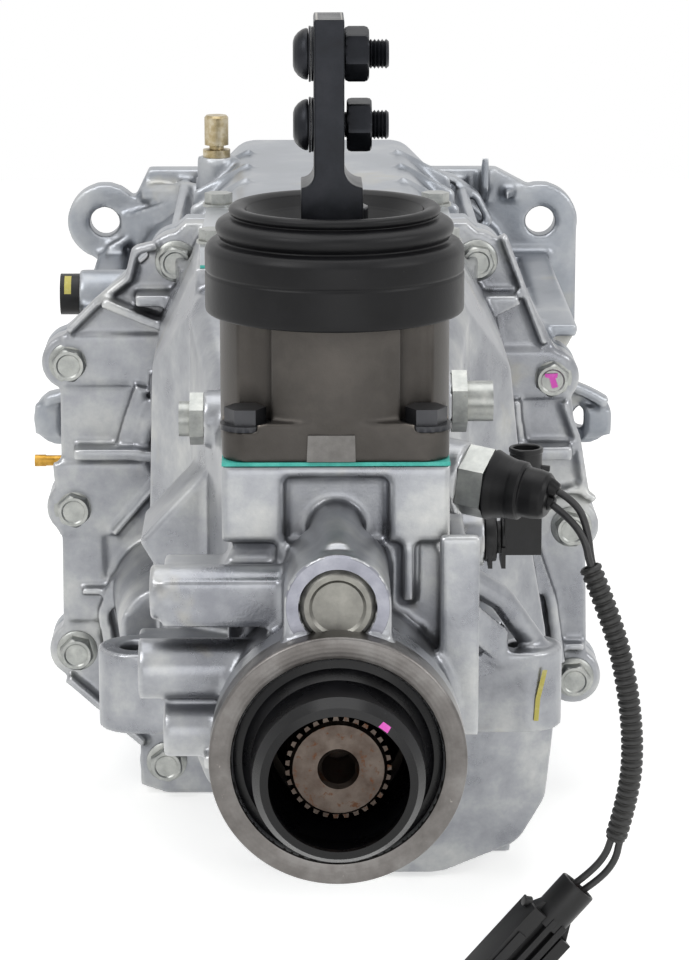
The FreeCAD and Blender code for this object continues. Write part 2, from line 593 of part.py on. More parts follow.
# Front bearing retainer with its quill tube, and the seal inside it
bearing_retainer = turned("bearing_retainer", [
    ("bearing_inner", "0"), ("register_radius", "0"), ("register_radius", "retainer_thick"),
    ("30", "retainer_thick"), ("quill_radius + 3", "retainer_thick + 9"),
    ("quill_radius", "retainer_thick + 14"), ("quill_radius", "quill_length"),
    ("input_radius + 0.6", "quill_length"), ("input_radius + 0.6", "retainer_thick + 2"),
    ("22", "retainer_thick + 2"), ("22", "3"), ("bearing_inner", "3")])
retainer_bores = sketch_on(bearing_retainer, "XZ_Plane", "retainer_bolt_holes")
for x, z in retainer_spots:
    draw_circle(retainer_bores, x, z, "3.3")
retainer_pocket = bearing_retainer.newObject("PartDesign::Pocket", "retainer_bolt_pocket")
retainer_pocket.Profile = retainer_bores
bind(retainer_pocket, Length="retainer_thick")
bearing_retainer.Tip = retainer_pocket
retainer_bolts = group("retainer_bolts", *[
    hex_bolt(f"retainer_bolt_{i}", x, "retainer_thick", z, "retainer_thick + 12", "3", "10", "5.5", "6.6",
             "1.2", "-Y")
    for i, (x, z) in enumerate(retainer_spots)])
front_seal = turned("front_seal", [
    ("22", "3.4"), ("22", "retainer_thick + 2"), ("input_radius + 0.35", "retainer_thick + 2"),
    ("input_radius + 0.35", "5"), ("18", "5"), ("18", "3.4")])

# Rear cover plate over the selector
plate_z = "roof_height + 4"
plate_face = f"{plate_z} + gasket_thick + plate_thick"
cover_spots = [(f"{sx} * (plate_half_width - 7)", y) for sx in (-1, 1)
               for y in ("-plate_front - 12", "-plate_rear + 12")]
cover_bolt_holes = [cylinder("3.3", "40", x, y, "roof_height - 10", "+Z") for x, y in cover_spots]
top_plate_gasket = cut(
    "top_plate_gasket",
    block("-plate_half_width + 2", "-plate_rear + 1", plate_z, "plate_half_width - 2", "-plate_front - 1",
          f"{plate_z} + gasket_thick"),
    block("-38", "-plate_rear + 12", "roof_height", "38", "-plate_front - 12", "roof_height + 12"), *cover_bolt_holes)
top_plate_blank = block("-plate_half_width + 2", "-plate_rear + 1", f"{plate_z} + gasket_thick",
                        "plate_half_width - 2", "-plate_front - 1", plate_face)
top_plate_ribs = [block("-34", f"-plate_front - {step}", f"{plate_z} + plate_thick", "34",
                        f"-plate_front - {step} + 4", f"{plate_z} + plate_thick + 4") for step in (34, 58, 82)]
top_plate = cut("top_plate", joined("top_plate_parts", top_plate_blank, *top_plate_ribs), *cover_bolt_holes)
top_plate_bolts = group("top_plate_bolts", *[
    hex_bolt(f"top_plate_bolt_{i}", x, y, plate_face, "plate_thick + 10", "3", "10", "5.5", "6.6", "1.2", "-Z")
    for i, (x, y) in enumerate(cover_spots)])

# Shift tower with its gasket and bolts
tower_y = "-tower_place"
gasket_box = block("-tower_half_x", f"{tower_y} - tower_half_y", "tower_base", "tower_half_x",
                   f"{tower_y} + tower_half_y", "tower_base + gasket_thick")
tower_foot = "tower_base + gasket_thick"
tower_spots = [(f"{sx} * tower_bolt_spread / 2", f"{tower_y} + {sy} * tower_bolt_spread / 2")
               for sx in (-1, 1) for sy in (-1, 1)]
tower_gasket = cut(
    "tower_gasket", gasket_box, cylinder("tower_bore", "10", "0", tower_y, "tower_base - 2", "+Z"),
    *[cylinder("tower_bolt_shank + bolt_clearance", "10", x, y, "tower_base - 2", "+Z") for x, y in tower_spots])
tower_flange_box = block("-tower_half_x", f"{tower_y} - tower_half_y", tower_foot, "tower_half_x",
                         f"{tower_y} + tower_half_y", f"{tower_foot} + tower_flange")
tower_flange_round = doc.addObject("Part::Fillet", "tower_flange_round")
tower_flange_round.Base = tower_flange_box
doc.recompute()
tower_flange_round.Edges = [(i + 1, 9.0, 9.0) for i, e in enumerate(tower_flange_box.Shape.Edges)
                            if abs(e.BoundBox.ZLength) > 5]
tower_web = [cylinder("4.5", f"tower_top - 6 - ({tower_foot})", f"{sx} * 25.5", f"{tower_y} + {sy} * 29",
                      tower_foot, "+Z") for sx in (-1, 1) for sy in (-1, 1)]
shift_tower = cut(
    "shift_tower",
    joined("tower_body", tower_flange_round,
           cylinder("tower_radius", f"tower_top - ({tower_foot})", "0", tower_y, tower_foot, "+Z"),
           cylinder("tower_radius + 1.5", "6", "0", tower_y, "tower_top - 6", "+Z"), *tower_web),
    cylinder("tower_bore", "80", "0", tower_y, "tower_base - 5", "+Z"),
    *[cylinder("8.8", "60", x, y, f"{tower_foot} + tower_flange - 3", "+Z") for x, y in tower_spots],
    *[cylinder("tower_bolt_shank + bolt_clearance", "60", x, y, "tower_base - 2", "+Z") for x, y in tower_spots],
    cylinder("yoke_pin + running_gap", "2 * tower_bore + 9", "0", f"{tower_y} + tower_bore + 4.5",
             "pivot_height", "-Y"))
tower_bolts = group("tower_bolts", *[
    hex_bolt(f"tower_bolt_{i}", x, y, f"{tower_foot} + tower_flange - 3", "24", "tower_bolt_shank", "12",
             "7", "8.4", "1.8", "-Z")
    for i, (x, y) in enumerate(tower_spots)])

# Tail bushing, tail seal with its dust lip, and the plug of the selector bore
tail_bushing = turned("tail_bushing", [
    ("bushing_radius", "-bushing_place"), ("bushing_radius + bushing_wall", "-bushing_place"),
    ("bushing_radius + bushing_wall", "-bushing_place - bushing_length"),
    ("bushing_radius", "-bushing_place - bushing_length")])
tail_seal = turned("tail_seal", [
    ("rim_bore - 0.02", "-tail_length + rim_depth - 6"), ("rim_bore - 0.02", "-tail_length + 3"),
    ("rim_bore - 3", "-tail_length + 2"), ("seal_neck + 0.6", "-tail_length - 2"),
    ("seal_neck", "-tail_length - seal_reach + 4"), ("seal_neck - 2.4", "-tail_length - seal_reach"),
    ("seal_lip", "-tail_length - seal_reach - 0.5"), ("seal_lip", "-tail_length - seal_reach + 2"),
    ("seal_neck - 2.6", "-tail_length - seal_reach + 6"), ("seal_neck - 2.2", "-tail_length - 4"),
    ("bushing_radius + 0.4", "-tail_length + 6"), ("bushing_radius + 0.4", "-tail_length + rim_depth - 6")])
rail_plug = turned("rail_plug", [
    ("0", f"{rail_boss_end} + 5"), ("rail_plug_radius", f"{rail_boss_end} + 5"),
    ("rail_plug_radius", f"{rail_boss_end} + 1.2"), ("rail_plug_radius - 1.4", f"{rail_boss_end} - 0.3"),
    ("rail_plug_radius - 3", f"{rail_boss_end} - 0.3"), ("rail_plug_radius - 4", f"{rail_boss_end} + 0.7"),
    ("0", f"{rail_boss_end} + 0.7")], z="rail_height")

# Breather, plugs and pins
breather_seat = "breather_height"
breather = turned_up("breather", [
    ("0", "98"), ("4.9", "98"), ("4.9", breather_seat), ("6.4", breather_seat),
    ("6.4", f"{breather_seat} + 3.4"), ("3.4", f"{breather_seat} + 3.8"), ("3.4", f"{breather_seat} + 5.2"),
    ("5.6", f"{breather_seat} + 5.6"), ("5.6", f"{breather_seat} + 18.4"), ("4.8", f"{breather_seat} + 19.4"),
    ("0", f"{breather_seat} + 19.4")], "-50", "-60")


def hex_plug(name, x, y, z, way, thread, flats, head, length):
    back = {"+X": "-X", "-X": "+X"}[way]
    return joined(name, cylinder(thread, length, x, y, z, back), prism(6, flats, head, x, y, z, way))


detent_plug = joined("detent_plug_parts",
                     hex_plug("detent_hex", "43.4", "-440", "detent_height", "+X", "8.1", "20", "5.5", "10"),
                     cylinder("7.4", "15", "43.4", "-440", "detent_height", "+X"))
ball_plug = joined("ball_plug_parts",
                   hex_plug("ball_plug_hex", "-47", "-430", "70", "-X", "8.1", "plug_flats", "5", "10"),
                   cylinder("6.5", "9", "-47", "-430", "70", "-X"))
hex_plugs = group("hex_plugs", ball_plug, detent_plug)
side_plug = joined("side_plug", cylinder("6.95", "16", "-case_half_width + 4", "-140", "side_plug_height", "-X"),
                   cylinder("9.2", "8.5", "-case_half_width - 10", "-140", "side_plug_height", "-X"))
locating_pin = joined("locating_pin", cylinder("2.4", "31", "-case_half_width", "-150", "-11", "-X"),
                      cylinder("2.7", "5", "-case_half_width - 26", "-150", "-11", "-X"))

# Reverse lamp switch with its boot
reverse_switch = joined(
    "reverse_switch", cylinder("8.1", "16", *from_switch("-14"), "switch"),
    prism(6, "switch_flats", "9", *from_switch("0"), "switch"),
    cylinder("9.5", "6", *from_switch("9"), "switch"), cylinder("6", "12", *from_switch("9"), "switch"))
switch_boot = cut(
    "switch_boot",
    joined("switch_boot_body", cone("12", "9.5", "14", *from_switch("9.6"), "switch"),
           cylinder("9.2", "7", *from_switch("23"), "switch")),
    cylinder("9.6", "6", *from_switch("9.5"), "switch"), cylinder("6.1", "12.1", *from_switch("9.5"), "switch"))
speed_sensor = joined(
    "speed_sensor", cylinder("8", "30", "58.3", "-sensor_place", "sensor_height", "-X"),
    cylinder("9.2", "4.2", "58.3", "-sensor_place", "sensor_height", "+X"),
    cylinder("6.5", "6", "60", "-sensor_place", "sensor_height", "+X"),
    block("66", "-sensor_place - 8", "sensor_height - 5", "79.3", "-sensor_place + 8", "sensor_height + 10"),
    cylinder("6.4", "30", "73.6", "-sensor_place", "sensor_height + 5", "+Z"))


def tube(name, route, radius):
    """A cord along straight runs joined by arcs, each as large as its two runs allow."""
    spots = [Vector(*spot) for spot in route]
    edges, start, bends = [], spots[0], []
    for before, spot, after in zip(spots, spots[1:], spots[2:]):
        a, b = before - spot, after - spot
        turn = math.pi - a.getAngle(b)
        reach = 0.45 * min(a.Length, b.Length)
        bend = reach / math.tan(turn / 2)
        bends.append(round(bend, 1))
        first, last = spot + a * (reach / a.Length), spot + b * (reach / b.Length)
        middle = (a / a.Length + b / b.Length).normalize()
        top = spot + middle * (bend / math.cos(turn / 2) - bend)
        edges += [Part.LineSegment(start, first).toShape(), Part.Arc(first, top, last).toShape()]
        start = last
    edges.append(Part.LineSegment(start, spots[-1]).toShape())
    path = Part.Wire(edges)
    profile = Part.Wire(Part.Circle(spots[0], spots[1] - spots[0], radius).toShape())
    solid = path.makePipeShell([profile], True, False)
    expected = math.pi * radius ** 2 * path.Length
    print(name, "radii", bends, "length", round(path.Length, 1), "volume share", round(solid.Volume / expected, 4))
    return solid


# Pigtail: two wires from the boot, a corrugated loom, and the connector on its end
boot_end = Vector(*[value(text) for text in from_switch("30.9")])
loom_route = [(88.3, -515, 36.2), (96.3, -517, 16.8), (101.4, -518, -3.5), (104.2, -518, -25),
              (103.6, -517, -45), (99, -515, -63)]
plug_mouth = Vector(86.4, -513.5, -81.2)
plug_end = Vector(50, -519, -121)
plug_axis = (plug_end - plug_mouth).normalize()
wire_routes = {
    "wire_a": ([(75.7, -508.9, 62.3), (83.5, -512, 58.5), (87.5, -513.5, 49), (88.1, -513.3, 37.1)],
               [(97.6, -515, -63.9), (95.6, -514.6, -69.5), (90.2, -513.9, -76.3), (83.6, -513.7, -81.5)]),
    "wire_b": ([(74.2, -508.2, 57.4), (80.5, -512.5, 53.5), (86.5, -516, 46), (88.4, -516.6, 37.1)],
               [(100.5, -515, -63.6), (99.2, -514.6, -71.5), (93.5, -514, -79), (86.3, -513.7, -84)])}
for name, (upper, lower) in wire_routes.items():
    radius = value("wire_radius")
    shape_item(name, Part.Compound([tube(f"{name} upper", upper, radius), tube(f"{name} lower", lower, radius)]))
shape_item("loom", tube("loom", loom_route, value("loom_radius")))
plug_turn = Rotation(Vector(0, 0, 1), plug_axis)
along["plug"] = plug_turn


def from_mouth(reach):
    return [str(round(c, 4)) for c in plug_mouth + plug_axis * reach]


plug_box = doc.addObject("Part::Box", "plug_box")
bind(plug_box, Length="22", Width="14", Height="38")
plug_box.Placement = Placement(plug_mouth + plug_axis * 16, plug_turn).multiply(
    Placement(Vector(-11, -7, 0), Rotation()))
connector = cut("connector", joined("connector_body", cylinder("7", "18", *from_mouth(0), "plug"), plug_box),
                cylinder("5.7", "8", *from_mouth(-0.1), "plug"))
connector_seal = cylinder("5.6", "5", *from_mouth(2.7), "plug", name="connector_seal")

# Bearings: outer rings sit in the casting, inner rings turn with their shaft
reverse_place = "(case_length + bearing_width + 7)"
bearing_places = {"input": "2", "output": "case_length + 1"}
counter_places = {"front": "4.2", "middle": "case_length + 1", "rear": "chamber_end - wall - bearing_width + 0.2"}


def ring(name, inner, outer, y, x="0", z="0"):
    return turned(name, [(inner, f"-({y})"), (outer, f"-({y})"), (outer, f"-({y}) - bearing_width + 0.5"),
                         (inner, f"-({y}) - bearing_width + 0.5")], x, z)


bearing_outer_rings = group("bearing_outer_rings", *[
    ring(f"{name}_outer_ring", "bearing_inner + ring_gap", "bearing_outer - 0.02", y)
    for name, y in bearing_places.items()])
counter_outer_rings = group("counter_outer_rings", *[
    ring(f"{name}_counter_outer_ring", "counter_bearing_inner + ring_gap", "counter_bearing_outer - 0.02", y,
         counter_x, counter_z) for name, y in counter_places.items()])
input_inner_ring = ring("input_inner_ring", "shaft_radius + 0.02", "bearing_inner", "2")
output_inner_ring = ring("output_inner_ring", "shaft_radius + 0.02", "bearing_inner", "case_length + 1")
counter_inner_rings = group("counter_inner_rings", *[
    ring(f"{name}_counter_inner_ring", "counter_radius + 0.02", "counter_bearing_inner", y, counter_x, counter_z)
    for name, y in counter_places.items()])

# Gear train along the shafts, each place measured back from the front face
hub_34 = "(input_gear_place + gear_width + synchro_reach)"
third_place = f"({hub_34} + synchro_reach)"
second_place = f"({third_place} + gear_width + 2)"
hub_12 = f"({second_place} + gear_width + synchro_reach)"
first_place = f"({hub_12} + synchro_reach)"
hub_5r = f"({reverse_place} + gear_width + synchro_reach)"
fifth_place = f"({hub_5r} + synchro_reach)"
hubs = {"34": hub_34, "12": hub_12, "5r": hub_5r}

x_counter, z_counter = value(counter_x), value(counter_z)
to_counter = math.atan2(z_counter, x_counter)
total = int(value("tooth_sum"))
width = value("gear_width")
dog_radius, dog_width = value("dog_radius"), value("dog_width")
bore = value("shaft_radius + running_gap")
pairs = {"input": ("input_teeth", "input_gear_place"), "third": ("third_teeth", third_place),
         "second": ("second_teeth", second_place), "first": ("first_teeth", first_place),
         "fifth": ("fifth_teeth", fifth_place)}
cluster = [ring_solid(value("counter_radius"), -4.6, value("chamber_end - wall - 5.4"))]
for name, (teeth, y) in pairs.items():
    count = int(value(teeth))
    cluster.append(gear_solid(total - count, -value(y), width, math.pi + to_counter + math.pi / (total - count)))


def free_gear(name, teeth, y, phase, dog_side):
    """A gear that runs free on the output shaft, with the dog ring that its sleeve slides over."""
    solid = gear_solid(teeth, -y, width, phase)
    gap = value("part_gap")
    root = value("tooth_module") * (teeth / 2 - 1.15) - 1
    hub_start, dog_start = (-y + dog_width, -y + dog_width) if dog_side > 0 else (-y - width + 1, -y - width - gap)
    solid = solid.fuse(ring_solid(min(dog_radius, root), hub_start, dog_width + 1))
    solid = solid.fuse(ring_solid(dog_radius, dog_start, dog_width - gap))
    return shape_item(name, solid.cut(ring_solid(bore, -y + 30, width + 60)))


for name, dog_side in (("third", 1), ("second", -1), ("first", 1), ("fifth", 1)):
    teeth, y = pairs[name]
    free_gear(f"{name}_gear", int(value(teeth)), value(y), to_counter, dog_side)

# Reverse gears
pinion, idler_count, reverse_count = [int(value(n)) for n in
                                      ("reverse_pinion_teeth", "idler_teeth", "reverse_teeth")]
reverse_y = value(reverse_place)
pinion_phase = 0.0
cluster.append(gear_solid(pinion, -reverse_y, width, pinion_phase))
to_idler = math.atan2(z_idler - z_counter, x_idler - x_counter)
idler_phase = meshed(pinion_phase, pinion, to_idler, idler_count)
to_main = math.atan2(-z_idler, -x_idler)
reverse_phase = meshed(idler_phase, idler_count, to_main, reverse_count)
free_gear("reverse_gear", reverse_count, reverse_y, reverse_phase, -1)
idler = gear_solid(idler_count, -reverse_y, width, idler_phase)
idler = idler.cut(ring_solid(value("idler_pin_radius + running_gap"), 0, 600))
shape_item("reverse_idler", idler, float(idler_x), float(idler_z))
idler_pin = cylinder("idler_pin_radius - 0.02", "gear_width + bearing_width + 10", idler_x,
                     "-case_length - 0.5", idler_z, name="idler_pin")
countershaft = shape_item("countershaft", cluster[0].multiFuse(cluster[1:]), x_counter, z_counter)


def splined(radius, depth, count, y, length):
    """A splined end: a ring of straight teeth round a shaft."""
    half = math.pi / count
    wire = tooth_wire(count, radius - depth, radius, half * 0.62, half * 0.4, 0, y)
    return Part.Face(wire).extrude(Vector(0, -length, 0))


# Input shaft with its gear, pilot nose and spline
input_y = value("input_gear_place")
reach = value("input_reach")
input_solid = gear_solid(int(value("input_teeth")), -input_y, width, to_counter)
input_solid = input_solid.multiFuse([
    ring_solid(dog_radius - 6, -input_y - width + 0.5, dog_width + 0.5),
    ring_solid(value("shaft_radius"), -1.5, input_y),
    ring_solid(value("input_radius"), value("quill_length") + 6, value("quill_length") + 10),
    splined(value("input_radius"), 2.2, int(value("input_splines")), reach - value("pilot_length") - 4,
            value("spline_length")),
    ring_solid(value("input_radius") - 2.2, reach - value("pilot_length"), reach - 60),
    ring_solid(value("pilot_radius"), reach, value("pilot_length") + 2)])
input_solid = input_solid.cut(ring_solid(10, -input_y - 4, 60))
shape_item("input_shaft", input_solid)

# Output shaft: pilot in the input gear, journal for the gears, long spline at the tail
end = value("output_end")
spline_radius, spline_depth = value("output_spline_radius"), value("output_spline_depth")
spline_length = value("output_spline_length")
front = input_y + width + dog_width + 2
output_solid = ring_solid(9.95, -input_y - 6, front)
output_solid = output_solid.multiFuse([
    ring_solid(value("shaft_radius"), -front, value("chamber_end") + 30 - front),
    ring_solid(spline_radius - spline_depth, -front - 5, end - 1.5 - front - 5),
    ring_solid(value("shaft_radius") - 1.6, -front - 5, end - spline_length - front - 8),
    splined(spline_radius, spline_depth, int(value("output_splines")), -end + spline_length,
            spline_length - 1.5),
    Part.makeCone(spline_radius - spline_depth, spline_radius - spline_depth - 1, 1.5,
                  Vector(0, -end + 1.5, 0), Vector(0, -1, 0))])
center = value("center_hole")
output_solid = output_solid.cut(ring_solid(center, -end + 28, 30)).cut(
    Part.makeCone(center, center + 1.6, 2, Vector(0, -end + 1.6, 0), Vector(0, -1, 0)))
shape_item("output_shaft", output_solid)

# Synchroniser hubs on the output shaft and the sleeves that slide on them
synchro_hubs = group("synchro_hubs", *[
    turned(f"hub_{name}", [
        ("shaft_radius + 0.02", f"-{y} - hub_width / 2"), ("hub_radius", f"-{y} - hub_width / 2"),
        ("hub_radius", f"-{y} + hub_width / 2"), ("shaft_radius + 0.02", f"-{y} + hub_width / 2")])
    for name, y in hubs.items()])
for name, y in hubs.items():
    turned(f"sleeve_{name}", [
        ("hub_radius + part_gap", f"-{y} - sleeve_width / 2"), ("sleeve_radius", f"-{y} - sleeve_width / 2"),
        ("sleeve_radius", f"-{y} - groove_width / 2"), ("sleeve_radius - groove_depth", f"-{y} - groove_width / 2"),
        ("sleeve_radius - groove_depth", f"-{y} + groove_width / 2"), ("sleeve_radius", f"-{y} + groove_width / 2"),
        ("sleeve_radius", f"-{y} + sleeve_width / 2"), ("hub_radius + part_gap", f"-{y} + sleeve_width / 2")])

# Forks on their rods, each rod with a slotted block that the finger moves
for name, spot in (("12", 1), ("34", 0), ("5r", -1)):
    y = hubs[name]
    x = f"{spot} * rod_spacing"
    fork_thick = "(groove_width - 2 * part_gap)"
    plate_ring = cut(
        f"fork_ring_{name}",
        cylinder("sleeve_radius + 6", fork_thick, y=f"-{y} + {fork_thick} / 2"),
        cylinder("sleeve_radius - groove_depth + part_gap", "30", y=f"-{y} + 15"),
        block("-70", f"-{y} - 15", "-80", "70", f"-{y} + 15", "-8"))
    arm = block(f"{x} - 5.5", f"-{y} - {fork_thick} / 2", "sleeve_radius + 1", f"{x} + 5.5",
                f"-{y} + {fork_thick} / 2", "rod_height")
    hub = cylinder("rod_radius + 3", "22", x, f"-{y} + 11", "rod_height")
    fork = cut(f"fork_body_{name}", joined(f"fork_parts_{name}", plate_ring, arm, hub),
               cylinder("rod_radius + 0.02", "60", x, f"-{y} + 30", "rod_height"))
    rod = cut(f"rod_{name}",
              joined(f"rod_parts_{name}",
                     cylinder("rod_radius", "block_place + block_half_y - rod_front", x, "-rod_front", "rod_height"),
                     block(f"{x} - block_half_x", "-block_place - block_half_y", "block_bottom",
                           f"{x} + block_half_x", "-block_place + block_half_y", "rod_height")),
              block(f"{x} - 20", "-block_place - finger_width / 2 - part_gap", "block_bottom - 5", f"{x} + 20",
                    "-block_place + finger_width / 2 + part_gap", "rail_height + finger_reach + 1"))
    group(f"fork_{name}", fork, rod)

# Control rail with the finger in front and the lever's socket under the tower
control_rail = cylinder("rail_radius", "tail_length - 30 - rail_front", "0", "-rail_front", "rail_height",
                        name="control_rail")
shift_finger = cut(
    "shift_finger",
    joined("finger_parts", cylinder("rail_radius + 5", "14", "0", "-block_place + 7", "rail_height"),
           block("-3.5", "-block_place - finger_width / 2", "rail_height + rail_radius", "3.5",
                 "-block_place + finger_width / 2", "rail_height + finger_reach")),
    cylinder("rail_radius + 0.02", "40", "0", "-block_place + 20", "rail_height"))
ball_height = "(rail_height + socket_reach)"
lever_socket = cut(
    "lever_socket",
    joined("socket_parts", cylinder("rail_radius + 4.5", "22", "0", "-tower_place + 11", "rail_height"),
           block("-12", "-tower_place - 11", "rail_height", "12", "-tower_place + 11", f"{ball_height} + 2.2")),
    cylinder("ball_radius + 2", "30", "0", "-tower_place", f"{ball_height} - ball_radius - 1.2", "+Z"),
    cylinder("rail_radius + 0.02", "40", "0", "-tower_place + 20", "rail_height"))
gate_collar = turned("gate_collar", [
    ("rail_radius + running_gap", "-collar_place"), ("rail_radius + 6", "-collar_place"),
    ("rail_radius + 6", "-collar_place - 10"), ("rail_radius + running_gap", "-collar_place - 10")],
    z="rail_height")

# Lever, its gimbal and pins
yoke_block = block("-yoke_half_x", f"{tower_y} - yoke_half_y", "pivot_height - yoke_half_z", "yoke_half_x",
                   f"{tower_y} + yoke_half_y", "pivot_height + yoke_half_z")
gate_yoke = cut(
    "gate_yoke",
    joined("yoke_parts", yoke_block,
           cylinder("yoke_pin", "2 * tower_bore + 8", "0", f"{tower_y} + tower_bore + 4", "pivot_height")),
    block("-9", f"{tower_y} - 12.5", "pivot_height - 20", "9", f"{tower_y} + 12.5", "pivot_height + 20"),
    cylinder("lever_pin_radius + running_gap", "80", "-40", tower_y, "pivot_height", "+X"))
lever_stem = turned_up("lever_stem", [
    ("0", f"{ball_height} - ball_radius"), ("ball_radius * 0.45", f"{ball_height} - ball_radius"),
    ("ball_radius * 0.85", f"{ball_height} - ball_radius * 0.6"),
    ("ball_radius", f"{ball_height} - 1.5"), ("ball_radius", f"{ball_height} + 1.5"), ("3.6", f"{ball_height} + 4.6"),
    ("3.6", f"{ball_height} + 15"), ("shank_radius", "pivot_height - 11"), ("shank_radius", "stud_base - 6"),
    ("stud_radius", "stud_base"), ("stud_radius", "blade_root - 8"), ("0", "blade_root - 8")], y=tower_y)
half_blade, half_stud = "blade_thick / 2", "stud_radius"
blade_top, root = value("lever_top"), value("blade_root")
t_half, s_half = value(half_blade), value(half_stud)
y_front = value("blade_depth") / 2
shift = value("blade_shift")
left, right, foot_left, foot_right = shift - t_half, shift + t_half, -s_half, s_half + shift
left_rise, right_rise, bow = left - foot_left, foot_right - right, 1 - math.sqrt(0.5)
foot_bottom = root - 14
blade_edges = [
    Part.LineSegment(Vector(foot_left, y_front, foot_bottom), Vector(foot_right, y_front, foot_bottom)),
    Part.LineSegment(Vector(foot_right, y_front, foot_bottom), Vector(foot_right, y_front, root)),
    Part.Arc(Vector(foot_right, y_front, root),
             Vector(right + right_rise * bow, y_front, root + right_rise * bow),
             Vector(right, y_front, root + right_rise)),
    Part.LineSegment(Vector(right, y_front, root + right_rise), Vector(right, y_front, blade_top)),
    Part.LineSegment(Vector(right, y_front, blade_top), Vector(left, y_front, blade_top)),
    Part.LineSegment(Vector(left, y_front, blade_top), Vector(left, y_front, root + left_rise)),
    Part.Arc(Vector(left, y_front, root + left_rise),
             Vector(left - left_rise * bow, y_front, root + left_rise * bow),
             Vector(foot_left, y_front, root)),
    Part.LineSegment(Vector(foot_left, y_front, root), Vector(foot_left, y_front, foot_bottom))]
blade = doc.addObject("Part::Feature", "lever_blade")
blade.Shape = Part.Face(Part.Wire([e.toShape() for e in blade_edges])).extrude(Vector(0, -2 * y_front, 0))
place(blade, "0", tower_y, "0")
shift_lever = cut(
    "shift_lever", joined("lever_parts", lever_stem, blade),
    cylinder("lever_pin_radius", "60", "-30", tower_y, "pivot_height", "+X"),
    cylinder("lever_bolt_shank + bolt_clearance", "60", "-30", tower_y, "upper_bolt", "+X"),
    cylinder("lever_bolt_shank + bolt_clearance", "60", "-30", tower_y, "lower_bolt", "+X"))
lever_pin = cylinder("lever_pin_radius - 0.02", "2 * yoke_half_x - 1", "-yoke_half_x + 0.5", tower_y, "pivot_height",
                     "+X", name="lever_pin")
bolt_heights = ("upper_bolt", "lower_bolt")
head_seat = "blade_shift - blade_thick / 2 - lever_washer_thick"
lever_bolts = group("lever_bolts", *[
    joined(f"lever_bolt_{i}", cylinder("lever_bolt_shank", f"lever_bolt_reach - ({head_seat})", head_seat, tower_y,
                                       z, "+X"),
           cone("button_radius", "button_radius - 3", "button_height", head_seat, tower_y, z, "-X"))
    for i, z in enumerate(bolt_heights)])
lever_washers = group("lever_washers", *[
    cut(f"lever_washer_{i}", cylinder("lever_washer", "lever_washer_thick", head_seat, tower_y, z, "+X"),
        cylinder("lever_bolt_shank + 0.02", "10", f"{head_seat} - 2", tower_y, z, "+X"))
    for i, z in enumerate(bolt_heights)])
lever_nuts = group("lever_nuts", *[
    cut(f"lever_nut_{i}", prism(6, "lever_nut_flats", "lever_nut_height", "blade_shift + blade_thick / 2", tower_y, z, "+X"),
        cylinder("lever_bolt_shank + 0.02", "20", "0", tower_y, z, "+X"))
    for i, z in enumerate(bolt_heights)])

# Rubber boot over the tower's rim, closed round the lever's stud
shifter_boot = turned_up("shifter_boot", [
    ("boot_skirt_radius - boot_wall", "boot_bottom"), ("boot_skirt_radius", "boot_bottom"),
    ("boot_skirt_radius", "boot_step + 6"), ("boot_skirt_radius - 2.5", "boot_step + 10"),
    ("boot_ring", "boot_step + 10"), ("boot_ring", "boot_step + 16"), ("boot_crown + 1", "boot_step + 17"),
    ("boot_crown", "boot_step + 19"), ("boot_crown", "boot_top - 1"), ("boot_crown - 5", "boot_top - 1"),
    ("boot_crown - 9", "boot_top - 6"), ("boot_throat + 3", "boot_top - 15"), ("boot_throat", "boot_top - 15"),
    ("boot_throat", "boot_top - 20"), ("boot_throat + 4", "boot_top - 20"),
    ("boot_crown - 9", "boot_top - 11"), ("boot_crown - 3.5", "boot_top - 7"),
    ("boot_crown - 3.5", "boot_step + 12"), ("boot_ring - 3.5", "boot_step + 6"),
    ("boot_skirt_radius - boot_wall", "boot_step + 1")], y=tower_y)
# Sub-parts, each written to a file of its own name
node_names = [
    "main_case", "rear_case", "case_bolts", "bearing_retainer", "retainer_bolts", "front_seal",
    "top_plate", "top_plate_gasket", "top_plate_bolts", "shift_tower", "tower_gasket", "tower_bolts",
    "tail_bushing", "tail_seal", "rail_plug", "breather", "hex_plugs", "side_plug", "locating_pin",
    "reverse_switch", "switch_boot", "wire_a", "wire_b", "loom", "connector", "connector_seal",
    "speed_sensor", "bearing_outer_rings", "counter_outer_rings", "idler_pin", "input_shaft",
    "input_inner_ring", "countershaft", "counter_inner_rings", "output_shaft", "output_inner_ring",
    "synchro_hubs", "first_gear", "second_gear", "third_gear", "fifth_gear", "reverse_gear",
    "reverse_idler", "sleeve_12", "sleeve_34", "sleeve_5r", "fork_12", "fork_34", "fork_5r",
    "control_rail", "shift_finger", "lever_socket", "gate_collar", "gate_yoke", "shift_lever",
    "lever_pin", "lever_bolts", "lever_washers", "lever_nuts", "shifter_boot"]

doc.recompute()
for item in doc.Objects:
    if {"Invalid", "Error"} & set(item.State):
        raise RuntimeError(f"{item.Name} failed: {item.State}")
for name in node_names:
    item = doc.getObject(name)
    item.Label = name
    if item.Shape.isNull() or not item.Shape.isValid() or not item.Shape.Solids:
        raise RuntimeError(f"{name} has no valid solid")
os.makedirs("parts", exist_ok=True)
for name in node_names:
    doc.getObject(name).Shape.exportStep(f"parts/{name}.step")
print(len(node_names), "sub-parts written")
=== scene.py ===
import math
import random

import bmesh
import bpy
from mathutils import Matrix, Vector


